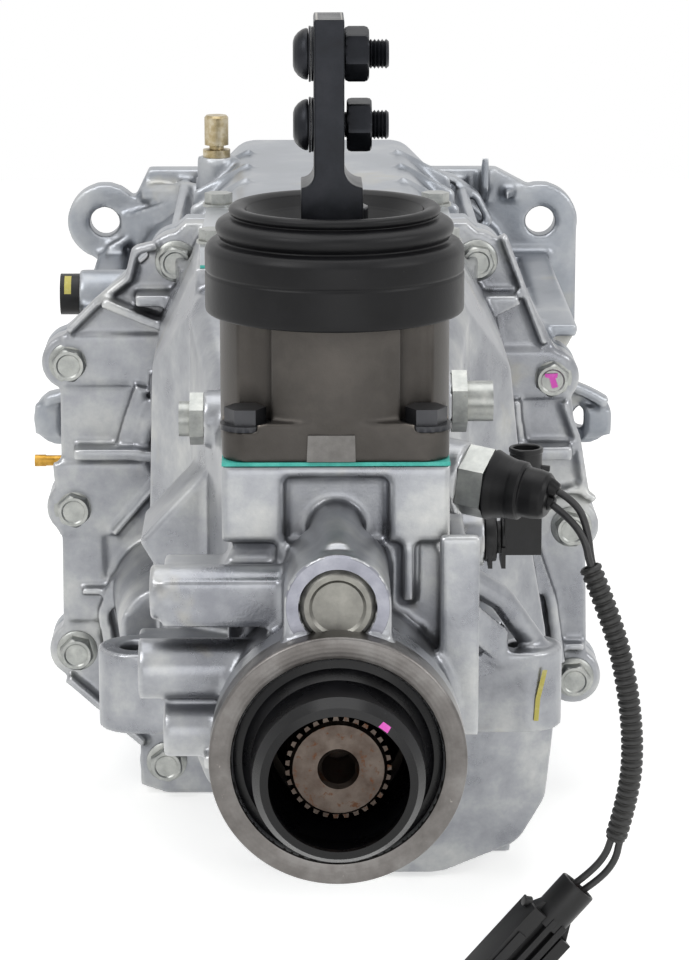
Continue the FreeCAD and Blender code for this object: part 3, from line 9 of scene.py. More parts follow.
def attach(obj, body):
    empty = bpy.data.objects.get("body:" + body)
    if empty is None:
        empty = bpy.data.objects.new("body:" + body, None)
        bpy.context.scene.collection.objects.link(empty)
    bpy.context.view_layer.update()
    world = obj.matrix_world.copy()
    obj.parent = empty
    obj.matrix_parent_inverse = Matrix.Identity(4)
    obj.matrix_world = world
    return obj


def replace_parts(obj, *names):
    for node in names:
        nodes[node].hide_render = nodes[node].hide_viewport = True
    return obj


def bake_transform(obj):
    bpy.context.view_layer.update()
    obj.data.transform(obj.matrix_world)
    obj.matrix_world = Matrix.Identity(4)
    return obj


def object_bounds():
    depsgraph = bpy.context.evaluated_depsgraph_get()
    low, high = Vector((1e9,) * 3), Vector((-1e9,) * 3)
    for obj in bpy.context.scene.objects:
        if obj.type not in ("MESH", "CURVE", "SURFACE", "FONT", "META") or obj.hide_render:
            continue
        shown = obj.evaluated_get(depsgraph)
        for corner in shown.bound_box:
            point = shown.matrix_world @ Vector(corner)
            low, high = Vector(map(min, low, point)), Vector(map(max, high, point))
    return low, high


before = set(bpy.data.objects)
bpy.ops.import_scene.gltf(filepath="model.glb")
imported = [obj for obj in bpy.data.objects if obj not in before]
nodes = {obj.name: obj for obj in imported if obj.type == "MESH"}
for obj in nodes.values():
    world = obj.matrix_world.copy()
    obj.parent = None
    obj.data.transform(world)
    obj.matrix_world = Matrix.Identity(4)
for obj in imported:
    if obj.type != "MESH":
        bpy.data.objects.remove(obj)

cadBox = [list(corner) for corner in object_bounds()]
scene = bpy.context.scene
mm = 0.001
dice = random.Random(11)

# camera: behind the tail, a little above it, looking forward along the shaft
camera = {"place": (-0.0127, -1.660, 0.342), "tiltDown": 13.5, "turnRight": 0.81, "lens": 128.7}
view = bpy.data.cameras.new("tailView")
view.lens, view.sensor_width = camera["lens"], 36
eye = bpy.data.objects.new("tailView", view)
eye.location = camera["place"]
eye.rotation_euler = (math.radians(90 - camera["tiltDown"]), 0, math.radians(-camera["turnRight"]))
scene.collection.objects.link(eye)
scene.camera = eye


def linear(code):  # sRGB hex to the linear colour that the nodes take
    parts = [int(code[i:i + 2], 16) / 255 for i in (1, 3, 5)]
    return tuple(p / 12.92 if p <= 0.04045 else ((p + 0.055) / 1.055) ** 2.4 for p in parts) + (1.0,)


def addNode(tree, kind, sockets=None, **settings):
    node = tree.nodes.new(kind)
    for name, value in settings.items():
        setattr(node, name, value)
    for name, value in (sockets or {}).items():
        if isinstance(value, bpy.types.NodeSocket):
            tree.links.new(value, node.inputs[name])
        else:
            node.inputs[name].default_value = value
    return node


def blankMaterial(name, **plain):
    material = bpy.data.materials.new(name)
    material.use_nodes = True
    tree = material.node_tree
    shader = tree.nodes["Principled BSDF"]
    for socket, value in plain.items():
        shader.inputs[socket.replace("_", " ")].default_value = value
    return material, tree, shader


def tinted(tree, share, colour, code):  # mixes a hex colour in by a share
    return addNode(tree, "ShaderNodeMix", {"Factor": share.outputs["Result"], "A": colour, "B": linear(code)},
                   data_type="RGBA").outputs["Result"]


# one surface recipe: cloudy tone, painted shade darkening the corners (pale dust in the valleys on the tube),
# rubbed edges, grain, tool marks
def surface(name, look):
    material, tree, shader = blankMaterial(name, Metallic=look.get("metallic", 1.0))
    where = addNode(tree, "ShaderNodeTexCoord").outputs["Object"]
    clouds = addNode(tree, "ShaderNodeTexNoise", {"Vector": where, "Scale": 1000 / look["cloudMm"],
                                                  "Detail": 6.0, "Roughness": 0.62})
    tone = addNode(tree, "ShaderNodeValToRGB", {"Fac": clouds.outputs["Fac"]})
    stops = tone.color_ramp.elements
    stops.new(0.5)
    for stop, place, shade in zip(stops, (0.3, 0.5, 0.72), ("dark", "main", "light")):
        stop.position, stop.color = place, linear(look[shade])
    colour = tone.outputs["Color"]
    if "shadeAndDust" in look:  # painted shade: colour darkened in corners and hollows by ambient occlusion; on the tube it is pale dust
        corner = addNode(tree, "ShaderNodeAmbientOcclusion", {"Distance": look.get("shadeAndDustMm", 14) * mm},
                         samples=4, only_local=True)
        share = addNode(tree, "ShaderNodeMapRange", {
            "Value": corner.outputs["AO"], "From Min": 0.25, "From Max": 0.85,
            "To Min": look.get("shadeAndDustShare", 0.75), "To Max": 0.0})
        colour = tinted(tree, share, colour, look["shadeAndDust"])
    if "stain" in look:  # sparse spots of another colour
        spots = addNode(tree, "ShaderNodeTexNoise", {"Vector": where, "Scale": 1000 / look["stainMm"],
                                                     "Detail": 4.0, "Roughness": 0.7})
        share = addNode(tree, "ShaderNodeMapRange", {
            "Value": spots.outputs["Fac"], "From Min": look.get("stainFrom", 0.6),
            "From Max": look.get("stainFrom", 0.6) + 0.08, "To Max": look.get("stainShare", 0.6)})
        colour = tinted(tree, share, colour, look["stain"])
    if "edge" in look:  # bare, rubbed edges
        bend = addNode(tree, "ShaderNodeNewGeometry").outputs["Pointiness"]
        share = addNode(tree, "ShaderNodeMapRange", {
            "Value": bend, "From Min": look.get("edgeFrom", 0.53),
            "From Max": look.get("edgeFrom", 0.53) + 0.07, "To Max": look.get("edgeShare", 0.7)})
        colour = tinted(tree, share, colour, look["edge"])
    tree.links.new(colour, shader.inputs["Base Color"])
    smoothest, roughest = look["rough"]
    rough = addNode(tree, "ShaderNodeMapRange", {
        "Value": clouds.outputs["Fac"], "From Min": 0.3, "From Max": 0.7, "To Min": smoothest,
        "To Max": roughest})
    tree.links.new(rough.outputs["Result"], shader.inputs["Roughness"])
    grain = addNode(tree, "ShaderNodeTexNoise", {"Vector": where, "Scale": 1000 / look["grainMm"],
                                                 "Detail": 3.0, "Roughness": 0.55})
    height = grain.outputs["Fac"]
    if "toolMm" in look:  # turning marks round the shaft direction
        rings = addNode(tree, "ShaderNodeTexWave", {"Vector": where, "Scale": 1000 / look["toolMm"] / 6.28,
                                                    "Distortion": 0.6, "Detail": 2.0},
                        wave_type="RINGS", rings_direction=look.get("toolAxis", "Y"))
        both = addNode(tree, "ShaderNodeMix", {"Factor": 0.5, "A": height, "B": rings.outputs["Fac"]})
        height = both.outputs[0]
    bump = addNode(tree, "ShaderNodeBump", {"Height": height, "Strength": look.get("bump", 0.3),
                                            "Distance": look.get("bumpMm", 0.15) * mm})
    tree.links.new(bump.outputs["Normal"], shader.inputs["Normal"])
    for socket, value in look.get("shader", {}).items():
        shader.inputs[socket].default_value = value
    return material


print("materials")
# die-cast aluminium: pale skin with a fine grain, brighter where the die was hot, painted shade darkening the
# corners
castAluminium = surface("castAluminium", {
    "dark": "#7F8187", "main": "#9A9CA0", "light": "#BCBDBB", "cloudMm": 26, "rough": (0.24, 0.4),
    "shadeAndDust": "#64656A", "shadeAndDustMm": 16, "shadeAndDustShare": 0.65, "stain": "#A39E8C", "stainMm": 60, "stainFrom": 0.6,
    "stainShare": 0.4, "edge": "#D9DADA", "edgeFrom": 0.52, "edgeShare": 0.55, "grainMm": 1.1, "bump": 0.4,
    "bumpMm": 0.12, "metallic": 0.82})
# the front half's skin is flatter and a little bluer from the die wash
castAluminiumFront = surface("castAluminiumFront", {
    "dark": "#7F848B", "main": "#989CA2", "light": "#B4B6B8", "cloudMm": 36, "rough": (0.28, 0.44),
    # painted shade: the corners are darkened grey by ambient occlusion
    "shadeAndDust": "#686A70", "shadeAndDustMm": 16, "shadeAndDustShare": 0.6, "stain": "#B3AD98", "stainMm": 75, "stainFrom": 0.6,
    "stainShare": 0.35, "edge": "#D6D8DA", "edgeFrom": 0.52, "edgeShare": 0.5, "grainMm": 1.2, "bump": 0.35,
    "bumpMm": 0.12, "metallic": 0.82})
# the tower's casting has gone brown-grey with age and handling, paler along its edges
agedCasting = surface("agedCasting", {
    "dark": "#3F3C39", "main": "#4A4744", "light": "#585450", "cloudMm": 26, "rough": (0.42, 0.56),
    # painted shade: the corners are darkened brown-grey by ambient occlusion
    "shadeAndDust": "#3E3934", "shadeAndDustShare": 0.6, "grainMm": 0.8, "bump": 0.4, "bumpMm": 0.12,
    "edge": "#9C948B", "edgeShare": 0.5, "metallic": 0.85})
# turned aluminium, tarnished: fine tool marks, dull brown-grey, bright scratches at the edges
turnedRim = surface("turnedRim", {
    "dark": "#585553", "main": "#6C6967", "light": "#82807E", "cloudMm": 14, "rough": (0.3, 0.42),
    "stain": "#B9B3AC", "stainMm": 5, "stainFrom": 0.66, "stainShare": 0.5, "grainMm": 0.5,
    "toolMm": 0.7, "bump": 0.35, "bumpMm": 0.08, "edge": "#C9C5C0", "edgeShare": 0.8})
# the faced ring round the selector bore's plug: darker and bluer than the rim
facedRing = surface("facedRing", {
    "dark": "#7C7D86", "main": "#8C8D96", "light": "#A0A1A9", "cloudMm": 9, "rough": (0.3, 0.42),
    "stain": "#C8C8CB", "stainMm": 3, "stainFrom": 0.68, "stainShare": 0.5, "grainMm": 0.5,
    "toolMm": 0.8, "bump": 0.25, "bumpMm": 0.05})
# bare patch on the tower's flange, where a lug was milled off
barePatchMetal = surface("barePatchMetal", {
    "dark": "#5E5C5A", "main": "#6A6866", "light": "#777573", "cloudMm": 5, "rough": (0.36, 0.46),
    "grainMm": 0.5, "bump": 0.2, "bumpMm": 0.04, "metallic": 0.85})
# zinc plate on steel: soft cloudy grey, no sharp mirror
zincPlate = surface("zincPlate", {
    "dark": "#8A8C8A", "main": "#9EA09D", "light": "#B6B7B3", "cloudMm": 6, "rough": (0.28, 0.42),
    # painted shade: corners round the bolt heads darkened by ambient occlusion
    "shadeAndDust": "#76776E", "shadeAndDustMm": 3, "shadeAndDustShare": 0.6, "stain": "#8E8F84", "stainMm": 2.2, "stainFrom": 0.62,
    "stainShare": 0.5, "grainMm": 0.5, "bump": 0.2, "bumpMm": 0.05})
# zinc on the breather cap has yellowed
yellowZinc = surface("yellowZinc", {
    "dark": "#8F7F5A", "main": "#B0A283", "light": "#D2CAB6", "cloudMm": 5, "rough": (0.28, 0.42),
    "grainMm": 0.6, "bump": 0.2, "bumpMm": 0.06})
# black oxide on steel: near black with a soft sheen, worn grey on the arrises
blackOxide = surface("blackOxide", {
    "dark": "#141519", "main": "#1D1F24", "light": "#2A2B30", "cloudMm": 12, "rough": (0.3, 0.44),
    "stain": "#4A4642", "stainMm": 2.4, "stainFrom": 0.72, "stainShare": 0.35, "grainMm": 0.5, "bump": 0.25,
    "bumpMm": 0.06, "edge": "#5E5E60", "edgeFrom": 0.56, "edgeShare": 0.6, "metallic": 0.7})
# plain turned steel, lightly tarnished
turnedSteel = surface("turnedSteel", {
    "dark": "#8D8A84", "main": "#A19E98", "light": "#B4B2AC", "cloudMm": 9, "rough": (0.3, 0.44),
    "stain": "#7B6A55", "stainMm": 4, "stainFrom": 0.66, "stainShare": 0.35, "grainMm": 0.5,
    "toolMm": 0.9, "bump": 0.25, "bumpMm": 0.05})
# the selector bore's plug: plain steel gone dull and grey
tarnishedPlug = surface("tarnishedPlug", {
    "dark": "#6B6A66", "main": "#7D7C77", "light": "#908F89", "cloudMm": 8, "rough": (0.34, 0.48),
    "stain": "#5E5548", "stainMm": 3, "stainFrom": 0.66, "stainShare": 0.3, "grainMm": 0.5, "bump": 0.25,
    "bumpMm": 0.05})
# the shaft's end face: bare steel with a film of rust and oil
rustySteel = surface("rustySteel", {
    "dark": "#443A34", "main": "#574E48", "light": "#6B625B", "cloudMm": 7, "rough": (0.34, 0.52),
    # painted shade: corners and hollows of the shaft end go near black by ambient occlusion
    "shadeAndDust": "#0B0908", "shadeAndDustMm": 5, "shadeAndDustShare": 1.0,
    "stain": "#54341F", "stainMm": 3.2, "stainFrom": 0.56, "stainShare": 0.8, "grainMm": 0.6,
    "bump": 0.35, "bumpMm": 0.08})
# ground gear steel under a film of oil
gearSteel = surface("gearSteel", {
    "dark": "#77777A", "main": "#8A8A8C", "light": "#9E9E9F", "cloudMm": 12, "rough": (0.22, 0.36),
    "grainMm": 0.5, "toolMm": 0.8, "bump": 0.15, "bumpMm": 0.04})
# worn bushing lining, dark with oil
oiledSteel = surface("oiledSteel", {
    "dark": "#26221E", "main": "#332E29", "light": "#403A34", "cloudMm": 8, "rough": (0.3, 0.42),
    "grainMm": 0.6, "toolMm": 0.8, "bump": 0.2, "bumpMm": 0.05, "metallic": 0.8})
# turned brass pin, dull
turnedBrass = surface("turnedBrass", {
    "dark": "#96722E", "main": "#B98F42", "light": "#CFA85C", "cloudMm": 4, "rough": (0.26, 0.4),
    "grainMm": 0.5, "bump": 0.2, "bumpMm": 0.05})
# moulded EPDM rubber: matt black with spots of pale dust
dustyRubber = surface("dustyRubber", {
    "dark": "#08080A", "main": "#0E0E10", "light": "#151517", "cloudMm": 16, "rough": (0.34, 0.48),
    "stain": "#6C6B69", "stainMm": 2.4, "stainFrom": 0.7, "stainShare": 0.35, "grainMm": 0.8,
    "bump": 0.3, "bumpMm": 0.08, "metallic": 0.0, "shader": {"Specular IOR Level": 0.22}})
# nitrile seal lip, oily and smooth
sealRubber = surface("sealRubber", {
    "dark": "#060607", "main": "#0A0A0C", "light": "#121215", "cloudMm": 18, "rough": (0.22, 0.34),
    # painted shade: the seal goes fully black in its hollows by ambient occlusion
    "shadeAndDust": "#020202", "shadeAndDustMm": 22, "shadeAndDustShare": 1.0,
    "stain": "#5F6365", "stainMm": 3, "stainFrom": 0.7, "stainShare": 0.3, "grainMm": 0.9,
    "bump": 0.2, "bumpMm": 0.06, "metallic": 0.0, "shader": {"Specular IOR Level": 0.28}})
# glass-filled nylon: black, moulded, faintly grained
mouldedNylon = surface("mouldedNylon", {
    "dark": "#101011", "main": "#161617", "light": "#1F1F21", "cloudMm": 9, "rough": (0.34, 0.46),
    "grainMm": 0.5, "bump": 0.25, "bumpMm": 0.05, "metallic": 0.0, "shader": {"Specular IOR Level": 0.35}})
# polyamide convoluted tube, dust in the valleys
conduitPlastic = surface("conduitPlastic", {
    "dark": "#191919", "main": "#242424", "light": "#313130", "cloudMm": 6, "rough": (0.38, 0.54),
    "shadeAndDust": "#4A4742", "shadeAndDustMm": 2, "shadeAndDustShare": 0.35, "grainMm": 0.6, "bump": 0.2, "bumpMm": 0.05,
    "metallic": 0.0})
# PVC wire insulation
wireInsulation = surface("wireInsulation", {
    "dark": "#1B1B1C", "main": "#262627", "light": "#333334", "cloudMm": 5, "rough": (0.34, 0.46),
    "grainMm": 0.5, "bump": 0.1, "bumpMm": 0.03, "metallic": 0.0})
# silicone wire seals
orangeSilicone = surface("orangeSilicone", {
    "dark": "#9E3A16", "main": "#BC4A1E", "light": "#D1602F", "cloudMm": 3, "rough": (0.4, 0.55),
    "grainMm": 0.5, "bump": 0.1, "bumpMm": 0.03, "metallic": 0.0})
# blue-green gasket with a coated, slightly glossy edge
gasketCoat = surface("gasketCoat", {
    "dark": "#2E9E92", "main": "#43B9AB", "light": "#66CDBF", "cloudMm": 7, "rough": (0.4, 0.55),
    "stain": "#2B4A46", "stainMm": 3, "stainFrom": 0.66, "stainShare": 0.6, "grainMm": 0.5,
    "bump": 0.2, "bumpMm": 0.04, "metallic": 0.0})


# paint marks left by inspection
def paintMark(name, main, pale):
    return surface(name, {"dark": main, "main": main, "light": pale, "cloudMm": 3, "rough": (0.5, 0.65),
                          "grainMm": 0.6, "bump": 0.3, "bumpMm": 0.05, "metallic": 0.0})


pinkPaint = paintMark("pinkPaint", "#E85BC8", "#F28AD8")
yellowPaint = paintMark("yellowPaint", "#C9BE62", "#D9D08C")


def finishMesh(name, bm, body, material, smoothAngle=35, bevel=0.0, scale=mm):
    bmesh.ops.recalc_face_normals(bm, faces=bm.faces)
    mesh = bpy.data.meshes.new(name)
    bm.to_mesh(mesh)
    bm.free()
    if scale != 1:
        mesh.transform(Matrix.Scale(scale, 4))
    piece = bpy.data.objects.new(name, mesh)
    scene.collection.objects.link(piece)
    if bevel:
        soften = piece.modifiers.new("edges", "BEVEL")
        soften.width, soften.segments, soften.limit_method = bevel * mm, 3, "ANGLE"
        soften.angle_limit, soften.harden_normals = math.radians(30), False
        applied = bpy.data.meshes.new_from_object(piece.evaluated_get(bpy.context.evaluated_depsgraph_get()))
        piece.modifiers.clear()
        piece.data = applied
    piece.data.set_sharp_from_angle(angle=math.radians(smoothAngle))
    for polygon in piece.data.polygons:
        polygon.use_smooth = True
    piece.data.materials.clear()
    piece.data.materials.append(material)
    if body:
        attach(piece, body)
    return piece


def axes(direction):
    along = Vector(direction).normalized()
    side = along.orthogonal().normalized()
    return side, along.cross(side), along


def softened(profile, radius, steps=3):  # rounds the corners of an open profile
    out = [profile[0]]
    for before, here, after in zip(profile, profile[1:], profile[2:]):
        a, b, p = Vector(before), Vector(after), Vector(here)
        reach = min(radius, (a - p).length * 0.45, (b - p).length * 0.45)
        start, end = p + (a - p).normalized() * reach, p + (b - p).normalized() * reach
        for i in range(steps + 1):
            t = i / steps
            out.append(tuple((start * (1 - t) + p * t) * (1 - t) + (p * (1 - t) + end * t) * t))
    return out + [profile[-1]]


def spin(bm, profile, origin, direction, steps=64, shape=None):
    # profile gives (radius, reach along the direction); shape may change the radius by angle
    side, up, along = axes(direction)
    origin = Vector(origin)
    rings = []
    for radius, reach in profile:
        if radius < 1e-6:
            rings.append([bm.verts.new(origin + along * reach)])
            continue
        ring = []
        for i in range(steps):
            angle = 2 * math.pi * i / steps
            r = shape(radius, angle) if shape else radius
            spoke = side * math.cos(angle) + up * math.sin(angle)
            ring.append(bm.verts.new(origin + along * reach + spoke * r))
        rings.append(ring)
    for low, high in zip(rings, rings[1:]):
        for i in range(max(len(low), len(high))):
            j = (i + 1) % max(len(low), len(high))
            corners = [low[i % len(low)], low[j % len(low)], high[j % len(high)], high[i % len(high)]]
            unique = list(dict.fromkeys(corners))
            if len(unique) > 2:
                bm.faces.new(unique)
    return rings


def capEnds(bm, rings):
    for ring in (rings[0], rings[-1]):
        if len(ring) > 2:
            bm.faces.new(ring)


def slab(bm, low, high):
    corners = [bm.verts.new((x, y, z)) for x in (low[0], high[0]) for y in (low[1], high[1])
               for z in (low[2], high[2])]
    for face in ((0, 1, 3, 2), (4, 6, 7, 5), (0, 4, 5, 1), (2, 3, 7, 6), (0, 2, 6, 4), (1, 5, 7, 3)):
        bm.faces.new([corners[i] for i in face])


def prismOf(bm, outline, move):  # a flat outline pushed along a direction
    first = [bm.verts.new(p) for p in outline]
    second = [bm.verts.new(Vector(p) + Vector(move)) for p in outline]
    bm.faces.new(first)
    bm.faces.new(second[::-1])
    for i in range(len(first)):
        j = (i + 1) % len(first)
        bm.faces.new([first[i], second[i], second[j], first[j]])


def rib(bm, start, end, thick, tall, lean=(0, 0, 1)):
    # a bar from one point to another, thick across and tall along lean
    a, b = Vector(start), Vector(end)
    run = (b - a).normalized()
    up = Vector(lean).normalized()
    side = run.cross(up).normalized() * (thick / 2)
    up = up * (tall / 2)
    prismOf(bm, [a - side - up, a + side - up, a + side + up, a - side + up], b - a)


def rod(bm, start, end, radius, endRadius=None, steps=32):
    a, b = Vector(start), Vector(end)
    capEnds(bm, spin(bm, [(radius, 0), (endRadius or radius, (b - a).length)], a, b - a, steps))


def hexRadius(flats):
    def shape(radius, angle):
        edge = flats / 2 / math.cos((angle + math.pi / 6) % (math.pi / 3) - math.pi / 6)
        return min(radius, edge)
    return shape


def hexHead(bm, seat, direction, flats, height, collar, collarHeight, dish, turn):
    # a chamfered hexagon with a washer face under it, seen from its free end
    washer = [(collar, 0), (collar, collarHeight * 0.45), (flats * 0.52, collarHeight)]
    capEnds(bm, spin(bm, softened(washer, 0.3), seat, direction, 48))
    flat = flats / 2
    shape = hexRadius(flats)
    base = collarHeight * 0.8
    profile = [(flat * 1.2, base), (flat * 1.2, height - 1.3), (flat * 1.08, height - 0.7),
               (flat * 0.97, height), (flat * 0.8, height)]
    profile += [(flat * 0.7, height - dish), (0, height - dish)]
    rings = spin(bm, profile, seat, direction, 48, lambda r, angle: shape(r, angle + turn))
    bm.faces.new(rings[0])


def threaded(bm, start, direction, radius, length, pitch=1.5):
    profile, reach = [(0, 0), (radius - 0.7, 0)], 0.5
    while reach + pitch < length:
        profile += [(radius - 0.75, reach), (radius, reach + pitch / 2)]
        reach += pitch
    profile += [(radius - 0.8, length), (0, length)]
    spin(bm, profile, start, direction, 36)


print("cords")
# two wires from the switch to the connector, through a convoluted tube
cord = {"wireRadius": 1.3, "tubeRadius": 3.9, "ringPitch": 2.75, "valley": 0.75,
        "route": [(88.3, -515, 36.2), (96.3, -517, 16.8), (101.4, -518, -3.5), (104.2, -518, -25),
                  (103.6, -517, -45), (99, -515, -63)]}
wireRoutes = {
    "wireUpper": [(75.7, -508.9, 62.3), (83.5, -512, 58.5), (87.5, -513.5, 49), (88.9, -514.6, 36.2),
                  (95.0, -516.6, 16.8), (100.1, -517.6, -3.5), (102.9, -517.6, -25), (102.3, -516.6, -45),
                  (97.6, -515, -62.9), (95.6, -514.6, -69.5), (90.2, -513.9, -76.3), (83.6, -513.7, -81.5)],
    "wireLower": [(74.2, -508.2, 57.4), (80.5, -512.5, 53.5), (86.5, -516, 46), (88.2, -516.6, 36.2),
                  (97.6, -517.4, 16.8), (102.7, -518.4, -3.5), (105.5, -518.4, -25), (104.9, -517.4, -45),
                  (100.5, -515, -63.6), (99.2, -514.6, -71.5), (93.5, -514, -79), (86.3, -513.7, -84.0)]}


def routeCurve(name, points, radius=0.0):
    curve = bpy.data.curves.new(name, "CURVE")
    curve.dimensions = "3D"
    spline = curve.splines.new("NURBS")
    spline.points.add(len(points) - 1)
    for point, spot in zip(spline.points, points):
        point.co = (*[c * mm for c in spot], 1)
    spline.order_u = 3
    spline.use_endpoint_u = True
    spline.resolution_u = 24
    curve.bevel_depth = radius * mm
    curve.bevel_resolution = 6
    curve.use_fill_caps = True
    return curve


def lineOf(points):  # the smooth line that a route's spline follows, in millimetres
    probe = bpy.data.objects.new("probe", routeCurve("probe", points))
    scene.collection.objects.link(probe)
    mesh = bpy.data.meshes.new_from_object(probe.evaluated_get(bpy.context.evaluated_depsgraph_get()))
    line = [v.co / mm for v in mesh.vertices]
    bpy.data.objects.remove(probe)
    return line


def lengthOf(line):
    return sum((b - a).length for a, b in zip(line, line[1:]))


wires = {}
for name, points in wireRoutes.items():
    wire = bpy.data.objects.new(name, routeCurve(name, points, cord["wireRadius"]))
    scene.collection.objects.link(wire)
    wire.data.materials.append(wireInsulation)
    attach(wire, "housing")
    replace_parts(wire, {"wireUpper": "wire_a", "wireLower": "wire_b"}[name])
    wires[name] = wire

tubeLine = lineOf(cord["route"])
tubeLength = lengthOf(tubeLine)
bm = bmesh.new()
rings, gone = [], 0.0
stations = []
for a, b in zip(tubeLine, tubeLine[1:]):
    stations.append((a, (b - a).normalized(), gone))
    gone += (b - a).length
stations.append((tubeLine[-1], (tubeLine[-1] - tubeLine[-2]).normalized(), gone))


def along(reach):
    for (a, way, start), (b, _, end) in zip(stations, stations[1:]):
        if reach <= end:
            return a.lerp(b, (reach - start) / max(end - start, 1e-9)), way
    return stations[-1][0], stations[-1][1]


up = Vector((0, 1, 0))
count = int(tubeLength / (cord["ringPitch"] / 8))
for i in range(count + 1):
    spot, way = along(tubeLength * i / count)
    phase = (i % 8) / 8
    swell = 1 if 0.2 < phase < 0.7 else (0.45 if phase in (0.125, 0.75) else 0)
    radius = cord["tubeRadius"] - cord["valley"] * (1 - swell)
    side = way.cross(up).normalized()
    across = side.cross(way).normalized()
    rings.append([bm.verts.new(spot + (side * math.cos(t) + across * math.sin(t)) * radius)
                  for t in [2 * math.pi * k / 28 for k in range(28)]])
for low, high in zip(rings, rings[1:]):
    for k in range(28):
        bm.faces.new([low[k], low[(k + 1) % 28], high[(k + 1) % 28], high[k]])
conduit = finishMesh("conduit", bm, "housing", conduitPlastic)
thick = conduit.modifiers.new("wall", "SOLIDIFY")
thick.thickness, thick.offset = 0.7 * mm, -1
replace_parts(conduit, "loom")

print("castings")


# a casting: the CAD node with its ribs and bosses, remeshed so that every corner gets a cast fillet
def casting(name, node, details, voxel, passes, keep, slot, material, body="housing"):
    bm = bmesh.new()
    bm.from_mesh(nodes[node].data)
    bmesh.ops.remove_doubles(bm, verts=bm.verts, dist=1e-6)
    bmesh.ops.scale(bm, vec=(1000, 1000, 1000), verts=bm.verts)
    if details:
        details(bm)
    bmesh.ops.scale(bm, vec=(mm, mm, mm), verts=bm.verts)
    mesh = bpy.data.meshes.new(name)
    bm.to_mesh(mesh)
    bm.free()
    piece = bpy.data.objects.new(name, mesh)
    scene.collection.objects.link(piece)
    fuse = piece.modifiers.new("fuse", "REMESH")
    fuse.mode, fuse.voxel_size = "VOXEL", voxel * mm
    ease = piece.modifiers.new("ease", "SMOOTH")
    ease.factor, ease.iterations = 0.5, passes
    thin = piece.modifiers.new("thin", "DECIMATE")
    thin.ratio = keep
    made = bpy.data.meshes.new_from_object(piece.evaluated_get(bpy.context.evaluated_depsgraph_get()))
    piece.modifiers.clear()
    piece.data = made
    for polygon in made.polygons:
        polygon.use_smooth = True
    made.materials.clear()
    made.materials.append(material)
    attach(piece, body)
    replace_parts(piece, node)
    print(name, len(made.polygons), "faces")
    return piece


def ribChain(bm, points, y, thick, proud):  # a rib that follows points (x, z) on a face square to the shaft
    for (x, z), (toX, toZ) in zip(points, points[1:]):
        rib(bm, (x, y + 2 - proud / 2, z), (toX, y + 2 - proud / 2, toZ), thick, proud + 4, (0, 1, 0))


def raised(bm, outline, y, proud):  # a flat pad with an outline (x, z), standing proud towards the tail
    prismOf(bm, [(x, y + 3, z) for x, z in outline], (0, -proud - 3, 0))


def mainCaseDetails(bm):
    front = -13.5
    # left ear: round bar and slanted ribs up to the dome
    rod(bm, (-86, front, 89.5), (-50, -34, 93), 4.6)
    rib(bm, (-97, front, 74), (-48, -40, 93), 4, 9)
    rib(bm, (-92, front, 66), (-50, -60, 86), 4, 9)
    ribChain(bm, [(-104, 62), (-86, 72), (-78, 90)], front, 4, 5)
    # right ear: tapered webs, curved ribs round the dome, and the bar down to the lug
    for z, reach, tall in ((55, 117, 5.5), (88, 95, 4)):
        prismOf(bm, [(88, front + 2, z), (reach, front + 2, z), (88, front - 16, z)], (0, 0, tall))
    rib(bm, (78, front, 92), (78, front - 12, 100), 3.5, 16)
    for inset in (0, 7):
        ribChain(bm, [(48 - inset, 104 - inset * 0.6), (62 - inset, 100 - inset), (73 - inset, 92 - inset),
                      (80 - inset, 79 - inset)], front - 22, 3.5, 9)
    ribChain(bm, [(96, 38), (110, 30), (122, 22)], front, 5, 9)
    ribChain(bm, [(116, -3), (130, -9), (139, -14)], front, 5, 7)
    ribChain(bm, [(-104, 0), (-122, -8), (-136, -12)], front, 5, 7)
    raised(bm, [(128, -16), (141.5, -18), (141.5, -30), (128, -32)], front, 4)
    raised(bm, [(-128, -12), (-141, -14), (-141, -29), (-128, -31)], front, 4)
    for side in (1, -1):
        rib(bm, (side * 100, -30, 26), (side * 106, -190, 34), 5, 9)
        rib(bm, (side * 99, -14, -8), (side * 105, -190, -14), 5, 9)
        rib(bm, (side * 99, -14, -60), (side * 106, -190, -66), 5, 9)
    for y in (-50, -95, -140):
        rib(bm, (-60, y, 99), (-34, y, 113), 4, 8)
        rib(bm, (60, y, 99), (34, y, 113), 4, 8)


